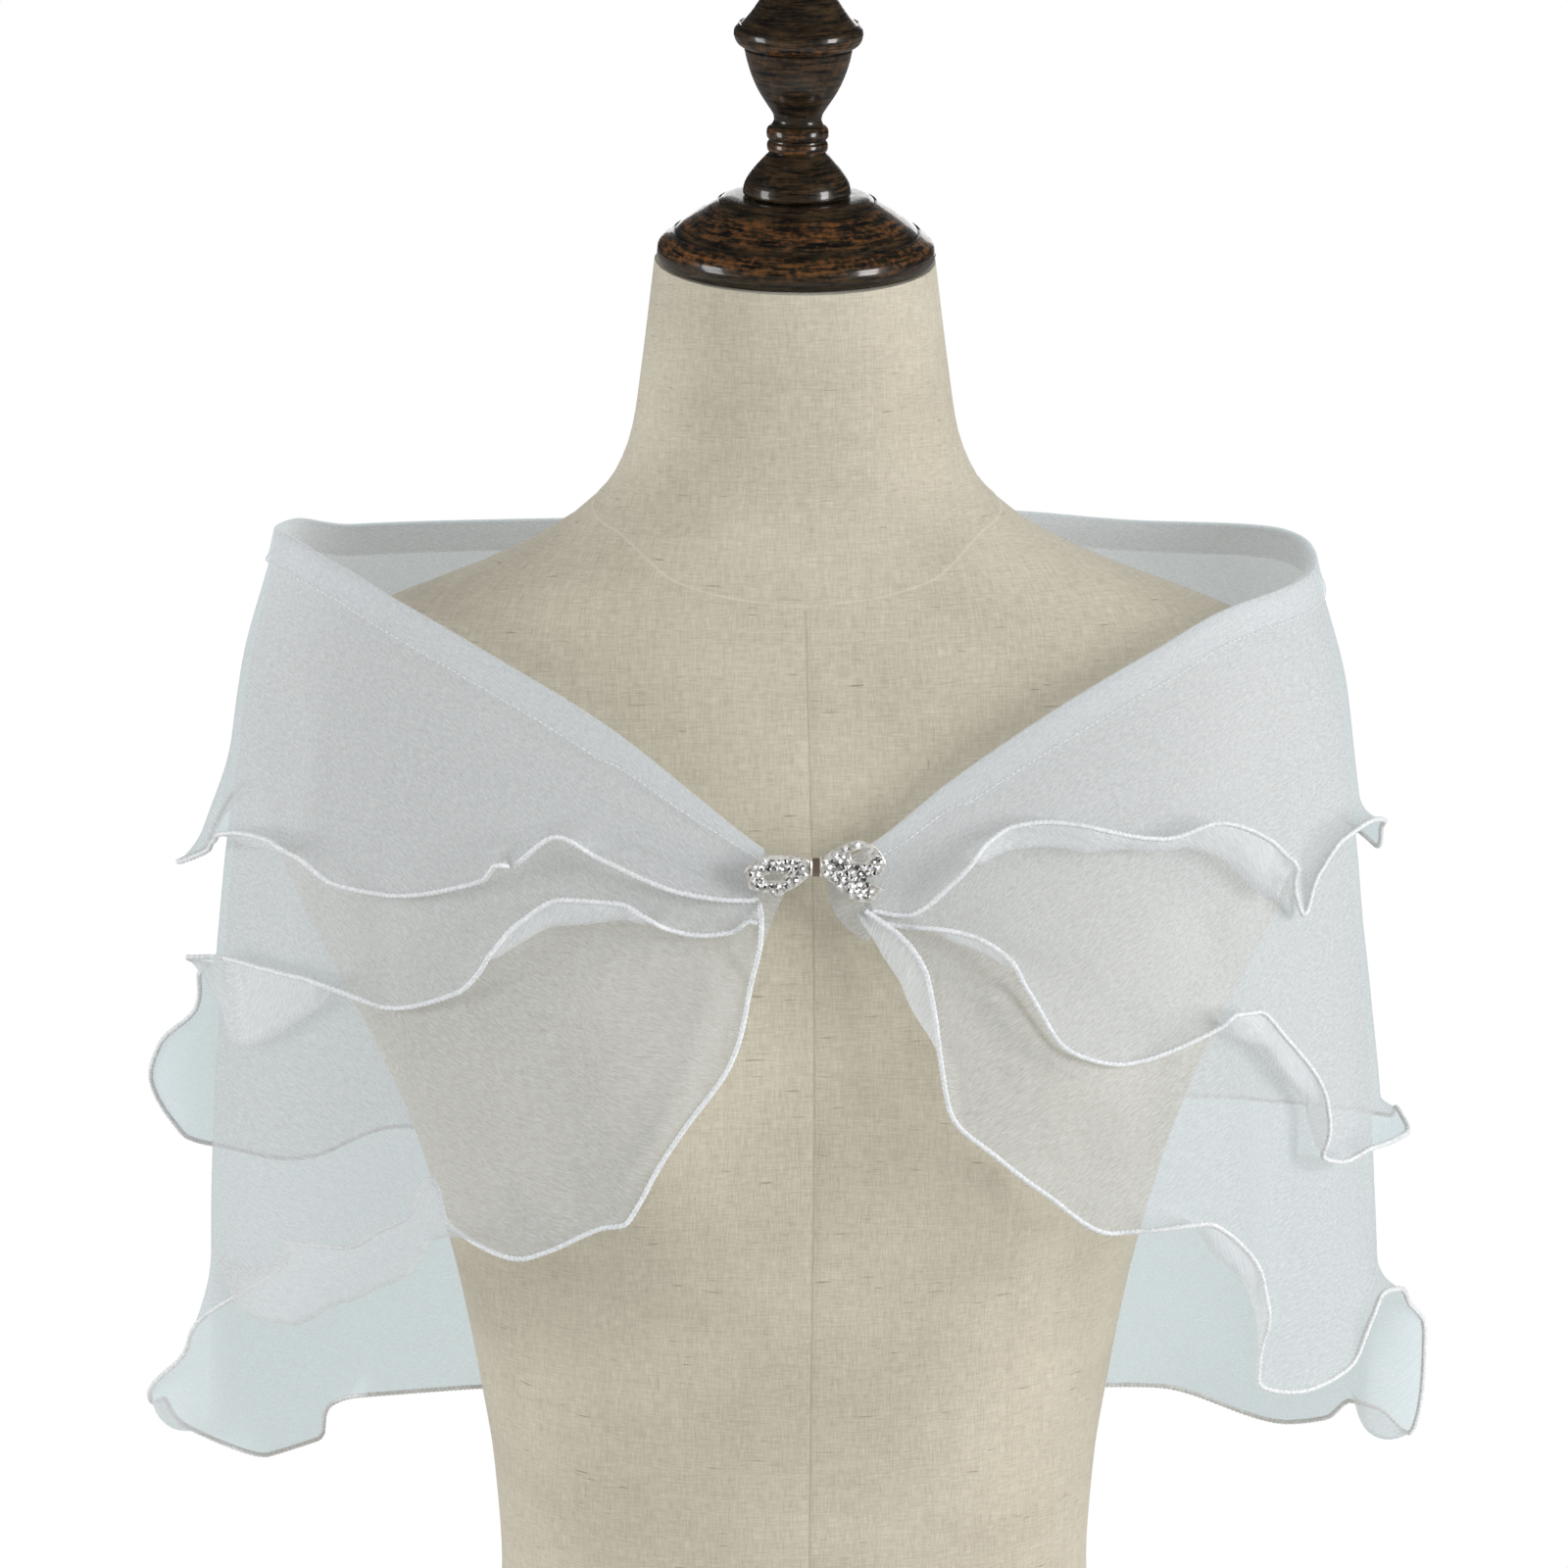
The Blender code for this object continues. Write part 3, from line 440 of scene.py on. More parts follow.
def buildTorso():
    shape = torsoShape
    angles, heights, strength = torsoGrid()
    ringCount, columnCount = angles.shape
    points = formPoints(angles, heights)
    along = np.roll(points, -1, 1) - np.roll(points, 1, 1)
    normal = np.cross(np.gradient(points, axis=0), along)
    normal /= np.linalg.norm(normal, axis=2, keepdims=True) + 1e-9
    inward = np.where((normal * points * (1, 1, 0)).sum(2, keepdims=True) > 0, -1, 1)
    points = points + normal * inward * strength[:, :, None] * shape["seamDepth"]

    torso = primitive("torso_linen", bpy.ops.mesh.primitive_cylinder_add, vertices=columnCount, radius=0.1,
                      depth=1, end_fill_type="NGON", calc_uvs=False)
    bpy.ops.object.mode_set(mode="EDIT")
    bpy.ops.mesh.select_all(action="DESELECT")
    cage = bmesh.from_edit_mesh(torso.data)
    for edge in cage.edges:
        edge.select_set(abs(edge.verts[0].co.z - edge.verts[1].co.z) > 0.5)
    bmesh.update_edit_mesh(torso.data)
    bpy.ops.mesh.subdivide(number_cuts=ringCount - 2)
    bpy.ops.object.mode_set(mode="OBJECT")

    # each vertex of the cylinder takes its ring's and column's place
    raw = np.array([vertex.co for vertex in torso.data.vertices])
    ring = np.rint((raw[:, 2] + 0.5) * (ringCount - 1)).astype(int)
    spin = 90 - np.degrees(np.arctan2(raw[:, 1], raw[:, 0]))
    column = np.rint((spin % 360) / 360 * columnCount).astype(int) % columnCount
    placed = points[ring, column] * mm
    torso.data.vertices.foreach_set("co", placed.ravel())

    # metres round from the front middle and metres up
    across = reachAlong(np.concatenate([points, points[:, :1]], 1).transpose(1, 0, 2)).T * mm
    across -= across[:, [columnCount // 2]]
    layer = torso.data.uv_layers.new(name="cloth")
    for face in torso.data.polygons:
        wraps = {0, columnCount - 1} <= {column[v] for v in face.vertices}
        for corner, vertex in zip(face.loop_indices, face.vertices):
            c = columnCount if wraps and column[vertex] == 0 else column[vertex]
            layer.data[corner].uv = (across[ring[vertex], c], placed[vertex, 2])
    setNumber(torso, "seam", strength[ring, column])
    torso.data.update()
    smoothByAngle(torso, shape["smoothAngle"])
    dress(torso, linenMaterial(), "linen", "form_torso")
    print("torso:", len(torso.data.polygons), "faces")


woodShape = {
    "sides": 96, "rounding": 4, "smoothAngle": 42,  # rounding is the points from row to row where it is round
    # radius, height, how far it is rubbed, 1 where the profile turns sharply
    "cap": [
        (48.6, 0, 0, 1), (50.2, 1.8), (51, 4.8, 0.3), (50.2, 8, 1), (47.7, 10.5, 0.9), (45.4, 11.8, 0.2, 1),
        (44.6, 11.2, 0, 1), (44, 12.3, 0.1, 1), (41.6, 14.8, 0.7), (38, 17.5, 1), (34.2, 19.9, 0.9),
        (31.2, 21.8, 0.4), (29.2, 23, 0, 1), (28.5, 22.4, 0, 1), (27.9, 23.4, 0.1, 1), (26.4, 24.5, 0.3),
        (23.8, 24.9, 0.2), (20.6, 25, 0, 1),
    ],
    "finial": [
        (19.2, 0, 0, 1), (19.8, 1, 0.1), (19.5, 3.4, 0.2), (18.3, 6.2, 0.2), (15.8, 9.7, 0.2), (13.6, 12.2, 0.1),
        (11.6, 14.4, 0.1), (10.6, 15.3, 0.1, 1), (10.3, 15.7, 0, 1), (10.9, 16.5, 0.7), (11.2, 17.8, 0.9),
        (11, 19.2, 0.6), (10.5, 19.9, 0, 1), (10.5, 20.4, 0, 1), (11.2, 21.3, 0.6), (11.4, 22.8, 0.9),
        (11.1, 24.4, 0.5), (10.2, 25.5, 0.1, 1), (9.5, 25.8), (8.8, 27.2), (8.8, 28.2), (9.3, 30),
        (11.8, 33.8, 0.1), (14.5, 38.1, 0.15), (16.5, 42.3, 0.2), (18, 46.3, 0.25), (19.1, 50.2, 0.3),
        (19.7, 53, 0.2, 1), (19.3, 53.5, 0, 1), (20.6, 54.1, 0.9), (22.5, 55.7, 1), (23.6, 58.4, 0.3),
        (23.2, 60.8, 0.1), (21.7, 62.6, 0.2, 1), (20.9, 62.4, 0, 1), (20.3, 63, 0.1, 1), (17.2, 66.7, 0.1),
        (14.4, 70.7, 0.1), (10.6, 76, 0.1), (7.8, 81.2, 0.1), (9.6, 85, 0.2), (11, 89.6, 0.4), (9.2, 94.1, 0.4),
        (4.6, 96.7, 0.2),
    ],
    "capLift": 0.3, "finialLift": 25.6,
}


def roundedProfile(rows):
    # more points along the round stretches, none past a sharp turn
    rows = table(rows)
    slope = np.gradient(rows, axis=0)
    out = [rows[0]]
    for i, (a, b) in enumerate(zip(rows, rows[1:])):
        fromSlope = b - a if a[3] else slope[i]
        toSlope = b - a if b[3] else slope[i + 1]
        steps = 2 if a[3] and b[3] else woodShape["rounding"]
        out += [bent(a, b, fromSlope, toSlope, t) for t in np.linspace(0, 1, steps)[1:]]
    return np.array(out)


def turnPiece(name, part, material, cadNode):
    # turned as on a lathe: a disc drawn up ring by ring
    profile, sides = roundedProfile(woodShape[part]), woodShape["sides"]
    piece = primitive(name, bpy.ops.mesh.primitive_circle_add, vertices=sides, radius=profile[0, 0] * mm,
                      fill_type="NGON")
    bpy.ops.object.mode_set(mode="EDIT")
    bpy.ops.mesh.select_all(action="SELECT")
    for last, this in zip(profile, profile[1:]):
        bpy.ops.mesh.extrude_region_move(TRANSFORM_OT_translate={"value": (0, 0, (this[1] - last[1]) * mm)})
        ratio = this[0] / last[0]
        bpy.ops.transform.resize(value=(ratio, ratio, 1), center_override=(0, 0, 0))
    bpy.ops.mesh.select_all(action="SELECT")
    bpy.ops.mesh.normals_make_consistent(inside=False)
    bpy.ops.object.mode_set(mode="OBJECT")
    setNumber(piece, "wear", np.clip(profile[np.arange(len(piece.data.vertices)) // sides, 2], 0, 1))
    foot = Vector((0, torsoShape["neckCentreY"], torsoShape["neckTop"]))
    foot += Vector((0, -math.sin(neckLean), math.cos(neckLean))) * woodShape[part + "Lift"]
    piece.data.transform(Matrix.Translation(foot * mm) @ Matrix.Rotation(neckLean, 4, "X"))
    smoothByAngle(piece, woodShape["smoothAngle"])
    dress(piece, material, "dark_wood", cadNode)
    print(name + ":", len(piece.data.polygons), "faces")


# the stole: three tiers on one surface, each with its folds

clothShape = {
    "oval": [  # height, half width, front depth, back depth
        (240, 221, 134, 99), (340, 220, 135, 99), (426, 216, 133, 98), (510, 208, 113, 96), (570, 201, 97, 95),
        (632, 189, 80, 90), (670, 181, 68, 87),
    ],
    "frontRoundness": 2.1, "backRoundness": 2.6,
    "topEdge": [  # turn, height
        (4.3, 526.5), (10, 533), (22, 550), (37, 572), (55, 596), (68, 615), (77, 628), (86, 635), (100, 635),
        (110, 630), (136, 629), (180, 631), (225, 631), (243, 628), (258, 629), (267, 627), (276, 619),
        (290, 610), (300, 597), (311, 583), (323, 568), (335, 553), (350, 533), (358, 526.5),
    ],
    "seamStep": 1.3, "looseStep": 3, "looseDepth": 50,
    "bandDepth": 11, "rows": (3, 26, 10, 4), "stations": 460,  # rows in the band, body, roll and flap
    "rollShare": 0.45, "bandShare": 0.4, "leastCurl": 1, "leastFlap": 2.5,
    "creaseStart": 12, "creaseOver": 25,  # how far below the top edge the creases begin
    "sewnFrom": 9.3, "sewnTo": 350,  # the hem's thread stops where the cloth is tucked under the clasp
}

# soft troughs (minus) and ridges (plus): from turn and height, to turn and height, half width, depth
creases = [
    (66, 484, 49, 510, 3.5, 1.4), (49, 510, 34.5, 524, 3.5, 1.3), (34.5, 524, 27, 519, 3.5, 1),
    (57.5, 535, 44, 536, 3, 1), (38, 535, 13, 518, 3.5, -1.1), (16.5, 514, 42.5, 426, 7, -1.6),
    (13.5, 502, 27.5, 420, 6, 1.5), (21.5, 502, 49, 466, 5, -1.2), (36, 425, 33, 398, 4, -1.4),
    (12, 490, 19, 440, 5, -1), (27, 470, 40, 410, 9, 1.6), (15, 525, 54.5, 537, 4.5, -1.1),
    (17, 534, 62, 566, 6, 1.2), (19.5, 529, 44.5, 555, 4, -0.9), (344, 523, 299, 550, 6, -1.3),
    (343, 520, 306, 528, 4.5, 1.1), (339, 506, 301, 495, 8, 1.5), (336, 501, 310, 463, 6, -1.4),
    (339, 492, 323, 406, 7, -1.6), (335, 492, 312, 418, 8, 1.5), (330, 470, 318, 405, 4, -1),
    (79, 604, 74.5, 405, 9, -1.6), (73, 585, 71, 486, 6, 1.3), (88, 560, 84, 330, 11, 1.8),
    (64, 540, 58, 440, 8, -1.2), (267, 595, 283, 379, 9, -1.7), (287, 582, 290, 476, 7, 1.4),
    (276, 560, 278, 350, 10, 1.6), (303, 520, 298, 420, 8, -1.2), (74.5, 335, 55, 385, 6, -1.3),
    (309, 393, 300, 360, 5, -1.2), (256, 600, 262, 330, 12, 1.5), (101, 590, 104, 300, 11, -1.6),
    (118, 600, 121, 420, 8, 1.2), (131, 560, 129, 300, 10, 1.8), (146, 610, 143, 450, 9, -1.2),
    (154, 520, 158, 290, 12, -1.8), (169, 600, 167, 410, 7, 1), (181, 560, 184, 300, 12, 1.9),
    (196, 605, 199, 440, 8, -1.1), (206, 500, 203, 290, 10, -1.7), (217, 590, 221, 380, 8, 1.2),
    (232, 550, 229, 300, 11, 1.7), (243, 600, 246, 430, 8, -1.3), (249, 480, 252, 290, 7, -1.4),
]

# each fold: its top turn; its edge's turn and height; curl, roll, flap, lean and sway
tierShort = {
    "node": "tier_short", "layer": 2, "swayStart": 0.6,
    "cut": (0.38, 0.82), "area": 0.1013,
    "folds": [
        (9.3, 10.3, 516, 0, 16), (11, 11.5, 515, 0, 20), (16, 15, 515, 5, 18), (22, 22.5, 517, 5, 18),
        (34, 36.5, 529, 20, 16), (40.5, 42, 535, 70, 12, 0, 0, 2), (46, 47.5, 525, 20, 12),
        (48, 48.5, 525, 70, 10, 0, 0, 2), (50, 50.5, 520, 10, 12), (61, 61, 513, 0, 14), (67, 66.5, 515, 20, 14),
        (72, 70, 523, 60, 12, 0, 0, 1), (76, 73, 528, 150, 12, 2, 0, 1), (80, 77, 529, 155, 12, 2, 0, 1),
        (85, 84, 523, 40, 10), (88.5, 88, 517, 20, 12), (91, 91, 509, 40, 14, 0, 0, 9),
        (93.5, 94, 513, 30, 14, 0, 0, 2), (97, 98, 517, 40, 20, 0, 0, 1), (110, 110, 531, 130, 26, 0, 0, 2),
        (121, 121, 513, 15, 26), (136, 136, 530, 145, 26, 0, 0, 2), (157, 157, 511, 15, 26),
        (182, 182, 529, 150, 26, 0, 0, 2), (207, 207, 510, 10, 26), (225, 225, 531, 145, 26, 0, 0, 2),
        (239, 239, 512, 15, 26), (250, 250, 527, 110, 24, 0, 0, 1), (257, 257, 520, 40, 20),
        (263, 263, 513, 30, 18, 0, 0, 1), (269, 268.5, 511, 50, 12), (274, 274, 523, 60, 12),
        (279.5, 280, 528, 70, 12), (283.5, 286, 524, 70, 14), (286.5, 289.5, 512, 40, 12),
        (288.5, 291, 499, 10, 10, 0, 0, 1), (290, 293, 512, 70, 12, 3), (292, 294.5, 522, 155, 12, 15),
        (294, 295.5, 527, 160, 12, 17), (300.5, 300.5, 535, 160, 12, 9), (306, 306, 531, 150, 10, 1),
        (321, 321.5, 539, 165, 12, 10.5), (325, 325.5, 538, 165, 12, 12.5), (330, 331, 531, 155, 12, 5),
        (334, 334.5, 523, 60, 12, 0, 0, 1), (344, 344.5, 509, 5, 16), (350, 350, 511, 0, 16),
    ],
}
tierMiddle = {
    "node": "tier_middle", "layer": 1, "swayStart": 0.75,
    "cut": (0.43, 1.04), "area": 0.195,
    "folds": [
        (9.3, 10.2, 507, 0, 18), (11, 11.5, 508, 0, 20), (15, 14.5, 504, 5, 14), (20, 19.5, 503, 5, 14),
        (25, 25, 505, 30, 10), (29, 28.5, 509, 130, 9), (32.5, 32, 513, 165, 9, 3), (41, 40, 514, 165, 9, 6.5),
        (48.5, 45.5, 504, 160, 9, 4.5), (50.5, 47, 497, 140, 9, 2), (52.5, 48.5, 489, 40, 10),
        (55, 51, 481, 10, 14), (64, 59, 474, 0, 16), (69, 63.5, 478, 60, 10), (73, 67, 481, 165, 10, 9),
        (85, 78.5, 483, 172, 9, 29), (87.5, 83, 477, 60, 8, 3), (89, 88, 468, 50, 8, 3),
        (90.5, 90, 458, 50, 10, 2), (94.5, 92, 439, 100, 24, 4), (96.5, 93.5, 426, 105, 26, 6),
        (100.5, 97, 401, 80, 20, 2), (103, 101, 393, 40, 22), (111, 110, 382, 10, 24), (121, 119, 389, 30, 26),
        (128, 127, 386, 10, 28), (140, 140, 403, 145, 28, 0, 0, 2), (161, 161, 387, 10, 28),
        (186, 186, 404, 150, 28, 0, 0, 2), (209, 209, 386, 10, 28), (225, 225, 400, 140, 28, 0, 0, 2),
        (234, 234, 394, 20, 26), (242, 242, 397, 40, 26, 0, 0, 1), (249, 249, 397, 60, 26, 0, 0, 1),
        (262, 261, 402, 30, 22, 0, 0, 1), (267, 266, 405, 50, 18, 0, 0, 1), (270.5, 270.5, 412, 60, 14),
        (274, 278, 410, 60, 16, 0, 0, 1), (278, 286.5, 412, 45, 18, 0, 0, 2),
        (281.5, 289.5, 409, 30, 16, 0, 0, 1), (285, 294, 415, 50, 14, 0, 0, 1), (288, 293.5, 428, 120, 12, 2),
        (296, 298, 460, 165, 11, 10), (299, 300, 468, 165, 11, 9), (302, 303, 468, 150, 11, 5),
        (305, 305, 464, 60, 12), (315.5, 316, 455, 0, 18), (322, 323, 461, 0, 18), (329.5, 327.5, 483, 20, 12),
        (334.5, 330.5, 495, 150, 9, 2), (340, 336, 502, 160, 9, 1.6), (346.5, 344, 505, 30, 8),
        (350, 349, 507, 0, 10),
    ],
}
tierLong = {
    "node": "tier_long", "layer": 0, "swayStart": 0.75,
    "cut": (0.50, 1.14), "area": 0.3,
    "folds": [
        (4.3, 4.6, 522, 0, 3), (6, 5.8, 516, 0, 3), (8, 7.6, 508.5, 0, 4), (9.3, 9, 500, 0, 5),
        (10.5, 10, 514, 10, 5, 3), (13, 9.6, 510, 50, 8, 4, -50), (16.5, 9.5, 506, 110, 9, 3, -65),
        (20, 9.5, 501, 100, 8, 3, -60), (27, 11, 485, 5, 8, 0, -30), (30, 12, 471, 5, 10, 0, -20),
        (33.5, 13.5, 460, 5, 12), (40, 20, 437, 5, 14), (42.5, 23.5, 423, 5, 14), (44.5, 26.5, 408, 5, 14),
        (46.5, 28, 403, 10, 12), (49, 30.5, 402, 10, 12), (54, 38, 392, 0, 12), (57, 41.5, 389, 0, 12),
        (63.5, 51.5, 397, -120, 9, 7), (67.5, 54.5, 412, -158, 9, 25), (70, 56, 399, -165, 9, 19),
        (73, 59.5, 392, -165, 9, 18.5), (76, 63.5, 384, -165, 9, 17.5), (79, 70, 381, -165, 9, 27),
        (83, 77.5, 377, -155, 10, 26), (85, 81, 370, -120, 11, 20), (90.5, 88.5, 337, 15, 13, 14),
        (92.5, 90, 323, 35, 14, 11), (96.5, 94, 300, 160, 30, 4, 0, 2), (100, 97, 297, 165, 30, 4, 0, 2),
        (103, 100.5, 281, 110, 28, 3, 0, 1), (107, 105.5, 267, 10, 26), (111, 111, 269, 10, 26),
        (113.5, 113.5, 277, 70, 26, 0, 0, 1), (117, 116, 283, 20, 26), (125, 125, 283, 10, 26),
        (133, 133, 281, 40, 28), (146, 146, 291, 145, 30, 0, 0, 2), (168, 168, 276, 10, 30),
        (192, 192, 292, 150, 30, 0, 0, 2), (214, 214, 277, 10, 30), (225, 225, 286, 100, 30, 0, 0, 1),
        (234, 234, 279, 20, 28), (242, 241, 280, 20, 28), (254, 252, 271, 20, 24), (259, 257, 276, 30, 24),
        (261.5, 260, 286, 40, 20), (263.5, 262.5, 284, 80, 22), (265.5, 264.5, 277, 110, 26, 0, 0, 1),
        (267.5, 266, 290, 125, 30), (271.5, 269.5, 326, 125, 27), (273.5, 273, 340, 80, 16, 0, 0, 1),
        (275.5, 278.5, 351, 60, 14, 0, 0, 2), (277.5, 283, 354, 50, 14, 0, 0, 2),
        (279.5, 285.5, 347, 40, 14, 0, 0, 3), (284, 288.5, 331, 20, 16, 0, 0, 3),
        (289, 294.5, 326, 5, 16, 0, 0, 2), (293.5, 300, 332, 0, 14), (298, 300.5, 347, 30, 9),
        (302, 301, 367, 155, 9, 5), (304, 301.5, 375, 165, 9, 8), (308, 306, 393, 165, 9, 9),
        (310, 308.5, 397, 125, 9, 4), (318, 318, 395, 0, 14), (327, 328, 413, 5, 14), (330, 333.5, 425, 5, 14),
        (335, 340, 441, 10, 8, 3, 20), (339, 341.5, 460, 85, 9, 3, 60), (344.5, 342, 486, 160, 9, 7, 80),
        (347.3, 345, 500, 160, 10, 8, 80), (350, 351.5, 511, 120, 8, 5, 80), (351, 350.4, 500, 10, 4),
        (353, 352.8, 503, 0, 4), (355.5, 355.5, 508, 0, 4), (357, 357, 513, 0, 4), (358, 358, 521, 0, 3),
    ],
}
# how far the band's leaves stand from the outer tier, in steps between tiers, and its fold above the edge
bandShape = {"cut": (0.0255, 0.98), "area": 0.0249, "outer": 0.8, "inner": 2.8, "over": 0.6}

ovalHalf, ovalFront, ovalBack = curvesOf(clothShape["oval"])
topHeight = curvesOf(clothShape["topEdge"])[0]


def onOval(turn, height):
    # the turn is in degrees from the front middle, towards -X
    turn, height = np.broadcast_arrays(np.asarray(turn, float), np.asarray(height, float))
    across, ahead = -np.sin(np.radians(turn)), -np.cos(np.radians(turn))
    inFront = ahead < 0
    depth = np.where(inFront, ovalFront(height), ovalBack(height))
    power = np.where(inFront, clothShape["frontRoundness"], clothShape["backRoundness"])
    reach = ((np.abs(across) / ovalHalf(height)) ** power + (np.abs(ahead) / depth) ** power) ** (-1 / power)
    return np.stack([reach * across, reach * ahead, height], -1)


def acrossTurn(turn, height):
    # the way and distance that one degree covers
    return onOval(turn + 0.5, height) - onOval(turn - 0.5, height)


def outward(turn, height):
    normal = np.cross(acrossTurn(turn, height), onOval(turn, height - 2) - onOval(turn, height + 2))
    return normal / np.linalg.norm(normal, axis=-1, keepdims=True)


def creaseRelief(turn, height):
    # how far the creases move the cloth out or in, in millimetres
    points = onOval(turn, height)
    relief = np.zeros(points.shape[:-1])
    for fromTurn, fromHeight, toTurn, toHeight, width, depth in creases:
        start = onOval(fromTurn, fromHeight)
        line = onOval(toTurn, toHeight) - start
        t = ((points - start) @ line) / (line @ line)
        away = np.linalg.norm(points - start - line * np.clip(t, 0, 1)[..., None], axis=-1) / width
        relief += depth * np.exp(-away * away) * ease(t * 4) * ease((1 - t) * 3)
    return relief


def stationTurns(tier):
    # evenly spaced along the top edge, from end to end
    turns = np.linspace(tier["folds"][0][0], tier["folds"][-1][0], 2000)
    reach = reachAlong(onOval(turns, topHeight(turns)))
    return np.interp(np.linspace(0, reach[-1], clothShape["stations"] + 1), reach, turns)


def tierPoints(tier, turns):
    # rows from the top edge down, round the roll and along its flap, columns along the stole
    shape = clothShape
    turn, height, curl, roll, flap, lean, sway = (curve(turns) for curve in curvesOf(tier["folds"]))
    side = np.where(curl < 0, -1, 1)
    curl = np.radians(np.maximum(np.abs(curl), shape["leastCurl"]))
    flap = np.maximum(flap, shape["leastFlap"])
    top = topHeight(turns)
    wide = np.linalg.norm(acrossTurn(turn, height), axis=-1)
    across, rise = (turn - turns) * wide, height - top
    fit = np.minimum(1, shape["rollShare"] * np.hypot(across, rise) / (roll + flap))
    roll, flap = roll * fit, flap * fit
    radius = roll / curl

    # where the roll starts, so that the cloth's edge ends in its place
    heading = np.arctan2(rise, across) + np.radians(lean)
    reach = radius * np.sin(curl) + flap * np.cos(curl)
    turn = turn - np.cos(heading) * reach / wide
    height = height - np.sin(heading) * reach
    whole = np.hypot((turn - turns) * wide, height - top)

    # how far each row is through the band, the body, the roll and the flap, from 0 to 1
    counts = shape["rows"]
    row = np.arange(sum(counts) + 1)[:, None]
    bound, body, rolled, flapped = (
        np.clip((row - start) / count, 0, 1) for start, count in zip(np.cumsum((0, *counts)), counts))
    band = np.minimum(shape["bandDepth"], shape["bandShare"] * whole) / whole
    share = band * bound + (1 - band) * body
    run = whole * share + roll * rolled + flap * flapped
    ahead = radius * np.sin(curl * rolled) + flap * flapped * np.cos(curl)
    out = radius * (1 - np.cos(curl * rolled)) + flap * flapped * np.sin(curl)
    here = turns + (turn - turns) * share + np.cos(heading) * ahead / wide
    down = top + (height - top) * share + np.sin(heading) * ahead
    stand = side * out + sway * ease((run / run[-1] - tier["swayStart"]) / (1 - tier["swayStart"]))
    depth = topHeight(here) - down
    step = shape["seamStep"] + (shape["looseStep"] - shape["seamStep"]) * ease(depth / shape["looseDepth"])
    relief = creaseRelief(here, down) * ease((depth - shape["creaseStart"]) / shape["creaseOver"])
    return onOval(here, down) + outward(here, down) * (tier["layer"] * step + stand + relief)[..., None]


def clothPiece(name, points):
    # its uv is metres from the back middle and metres down, so that the weave keeps its size
    piece = newMesh(name, points.reshape(-1, 3), gridFaces(*points.shape[:2]))
    u = reachAlong(points[0]) * mm
    v = reachAlong(points) * mm
    uv = np.stack([np.broadcast_to(np.abs(u - u[-1] / 2), v.shape), v], -1).reshape(-1, 2).astype(np.float32)
    corner = np.zeros(len(piece.data.loops), int)
    piece.data.loops.foreach_get("vertex_index", corner)
    piece.data.uv_layers.new(name="cloth").data.foreach_set("uv", uv[corner].ravel())
    return piece


# rolled edge: thread wound round the cloth's edge
hemShape = {"radius": 0.92, "swell": 0.2, "pitch": 1.8, "ringsPerStitch": 3, "sides": 7}


def hemThread(name, edge, material):
    shape = hemShape
    path, places = evenPath(edge, shape["pitch"] / shape["ringsPerStitch"])
    tangent = np.gradient(path, axis=0)
    tangent /= np.linalg.norm(tangent, axis=1, keepdims=True)
    side, sides = np.cross(tangent[0], (0, 0, 1)), []
    for direction in tangent:
        side = side - direction * (side @ direction)
        side = side / np.linalg.norm(side)
        sides.append(side)
    side = np.array(sides)
    around = np.linspace(0, math.tau, shape["sides"], endpoint=False)
    radius = shape["radius"] * (1 + shape["swell"] * np.sin(places[:, None] / shape["pitch"] * math.tau + around))
    ring = side[:, None] * np.cos(around)[:, None] + np.cross(tangent, side)[:, None] * np.sin(around)[:, None]
    points = (path[:, None] + ring * radius[..., None]).reshape(-1, 3)
    n = shape["sides"]
    ends = [tuple(reversed(range(n))), tuple(range(len(points) - n, len(points)))]
    piece = newMesh(name, points, gridFaces(len(path), n, closed=True) + ends)
    dress(piece, material, "sheer_cloth")
    return piece


def repeated(name, unit, places, smooth=True):
    # one small shape at many places; each place is a 4x4 matrix in millimetres
    base = np.array([vertex.co for vertex in unit.data.vertices])
    shapes = [tuple(face.vertices) for face in unit.data.polygons]
    points, faces = [], []
    for i, place in enumerate(places):
        matrix = np.array(place)
        points.append(base @ matrix[:3, :3].T + matrix[:3, 3])
        faces += [tuple(v + i * len(base) for v in face) for face in shapes]
    bpy.data.objects.remove(unit)
    return newMesh(name, np.concatenate(points), faces, smooth)


# size is length, width and height; squash turns the stitches the way that the oval faces
stitchShape = {"pitch": 2.3, "size": (1.95, 0.5, 0.4), "proud": 0.4, "squash": 1.6}


def bandStitches(line, material):
    # the line of machine stitches along the band's lower edge
    shape = stitchShape
    path, _ = evenPath(line, shape["pitch"])
    unit = primitive("stitch", bpy.ops.mesh.primitive_uv_sphere_add, segments=6, ring_count=4, radius=0.5,
                     rotation=(0, math.pi / 2, 0))
    bpy.ops.object.transform_apply(rotation=True)
    unit.data.transform(Matrix.Diagonal((*shape["size"], 1)))
    places = []
    for a, b in zip(path, path[1:]):
        middle, forward = Vector((a + b) / 2), Vector(b - a).normalized()
        out = Vector((middle.x, middle.y * shape["squash"], 0)).normalized()
        side = out.cross(forward).normalized()
        turned = Matrix((forward, side, forward.cross(side))).transposed().to_4x4()
        places.append(Matrix.Translation(middle + out * shape["proud"]) @ turned)
    piece = repeated("band_stitches", unit, places)
    dress(piece, material, "sheer_cloth")
    return piece


